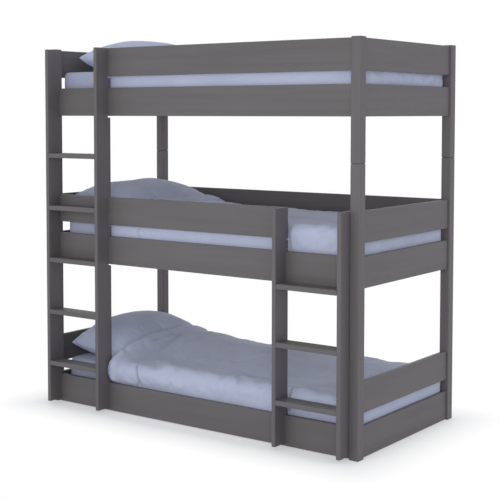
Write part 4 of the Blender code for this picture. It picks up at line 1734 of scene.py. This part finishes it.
@dataclass
class Studio:
    """The floor, the lamps, the white surroundings and the camera."""

    floor_half: float = 30.0
    floor_colour: Colour = (0.93, 0.915, 0.925)
    footprint: tuple[float, float] = (1.0, 0.53)
    shadow_reach: float = 0.25
    shadow_share: float = 0.13
    sky_colour: Colour = (0.91, 0.95, 1.0)
    sky_strength: float = 0.84
    camera_place: tuple[float, float, float] = (3.6911, -5.0688, 1.6136)
    camera_pitch: float = 3.31
    camera_yaw: float = 36.5964
    lens: float = 84.2287
    shift: tuple[float, float] = (0.0393, -0.1402)
    lamps: tuple[Lamp, ...] = (
        Lamp("front_lamp", (3.8, -6.2, 2.2), 112.0),
        Lamp("side_lamp", (-1.5, -6.5, 1.9), 42.0),
        Lamp("rear_lamp", (-0.6, 6.5, 2.4), 20.0),
    )

    def floor_material(self) -> bpy.types.Material:
        """A pale floor that keeps the shadow near the bed and goes to plain white further off.

        Returns:
            The material.
        """
        material, canvas, shader = new_material("pale_floor")
        canvas.fill(shader, Base_Color=tint(self.floor_colour), Roughness=0.7, Specular_IOR_Level=0.2)
        place = canvas.put("SeparateXYZ", in_0=canvas.put("TexCoord").outputs["Object"]).outputs
        squares = []
        for axis, half in zip("XY", self.footprint):
            past = canvas.math("SUBTRACT", canvas.math("ABSOLUTE", place[axis]), half)
            squares.append(canvas.math("POWER", canvas.math("MAXIMUM", past, 0.0), 2.0))
        far = canvas.math("SQRT", canvas.math("ADD", *squares))
        share = canvas.math("POWER", canvas.spread(far, 0.0, self.shadow_reach, self.shadow_share, 1.0), 0.5)
        plain = canvas.math("MULTIPLY", share, canvas.looked_at())
        white = canvas.put("Emission", Color=WHITE, Strength=1.0).outputs[0]
        mixed = canvas.put("MixShader", in_0=plain, in_1=shader.outputs[0], in_2=white).outputs[0]
        canvas.fill(canvas.tree.nodes["Material Output"], Surface=mixed)
        return material

    def build_floor(self) -> None:
        """Lays the floor."""
        bm = bmesh.new()
        bmesh.ops.create_grid(bm, x_segments=1, y_segments=1, size=self.floor_half)
        link("studio_floor", mesh_from("studio_floor", bm, self.floor_material()))

    def build_world(self) -> None:
        """Surrounds the scene with plain light, seen as white."""
        world = bpy.data.worlds.new("studio")
        bpy.context.scene.world = world
        world.use_nodes = True
        world.node_tree.nodes.clear()
        canvas = NodeCanvas(world.node_tree)
        plain = canvas.put("Background", Color=tint(self.sky_colour), Strength=self.sky_strength).outputs[0]
        white = canvas.put("Background", Color=WHITE, Strength=1.0).outputs[0]
        mixed = canvas.put("MixShader", in_0=canvas.looked_at(), in_1=plain, in_2=white).outputs[0]
        canvas.put("OutputWorld", Surface=mixed)

    def build_camera(self) -> None:
        """Sets the camera where the photograph was taken from."""
        camera = bpy.data.cameras.new("photo_camera")
        camera.sensor_width, camera.lens = 36.0, self.lens
        camera.shift_x, camera.shift_y = self.shift
        camera.clip_start, camera.clip_end = 0.05, 200.0
        obj = link("photo_camera", camera)
        obj.location = self.camera_place
        tilt = math.radians(90.0 - self.camera_pitch)
        obj.rotation_euler = Euler((tilt, 0.0, math.radians(self.camera_yaw)))
        bpy.context.scene.camera = obj

    def build(self) -> None:
        """Builds the whole studio."""
        self.build_floor()
        self.build_world()
        for lamp in self.lamps:
            lamp.hang()
        self.build_camera()
        bpy.context.scene.view_settings.view_transform = "Standard"


def main() -> None:
    """Builds the looks of the bed, piece by piece."""
    logging.basicConfig(level=logging.INFO, format="%(name)s: %(message)s")
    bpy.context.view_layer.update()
    Studio().build()
    finishes = Finishes()
    Timberwork().dress(finishes)
    for bed in Bed:
        SlatRoll(bed).build(finishes)
        Mattress(bed).build(finishes)
        Pillow(bed).build(finishes)
        Duvet(bed).build(finishes)


if __name__ == "__main__":
    main()
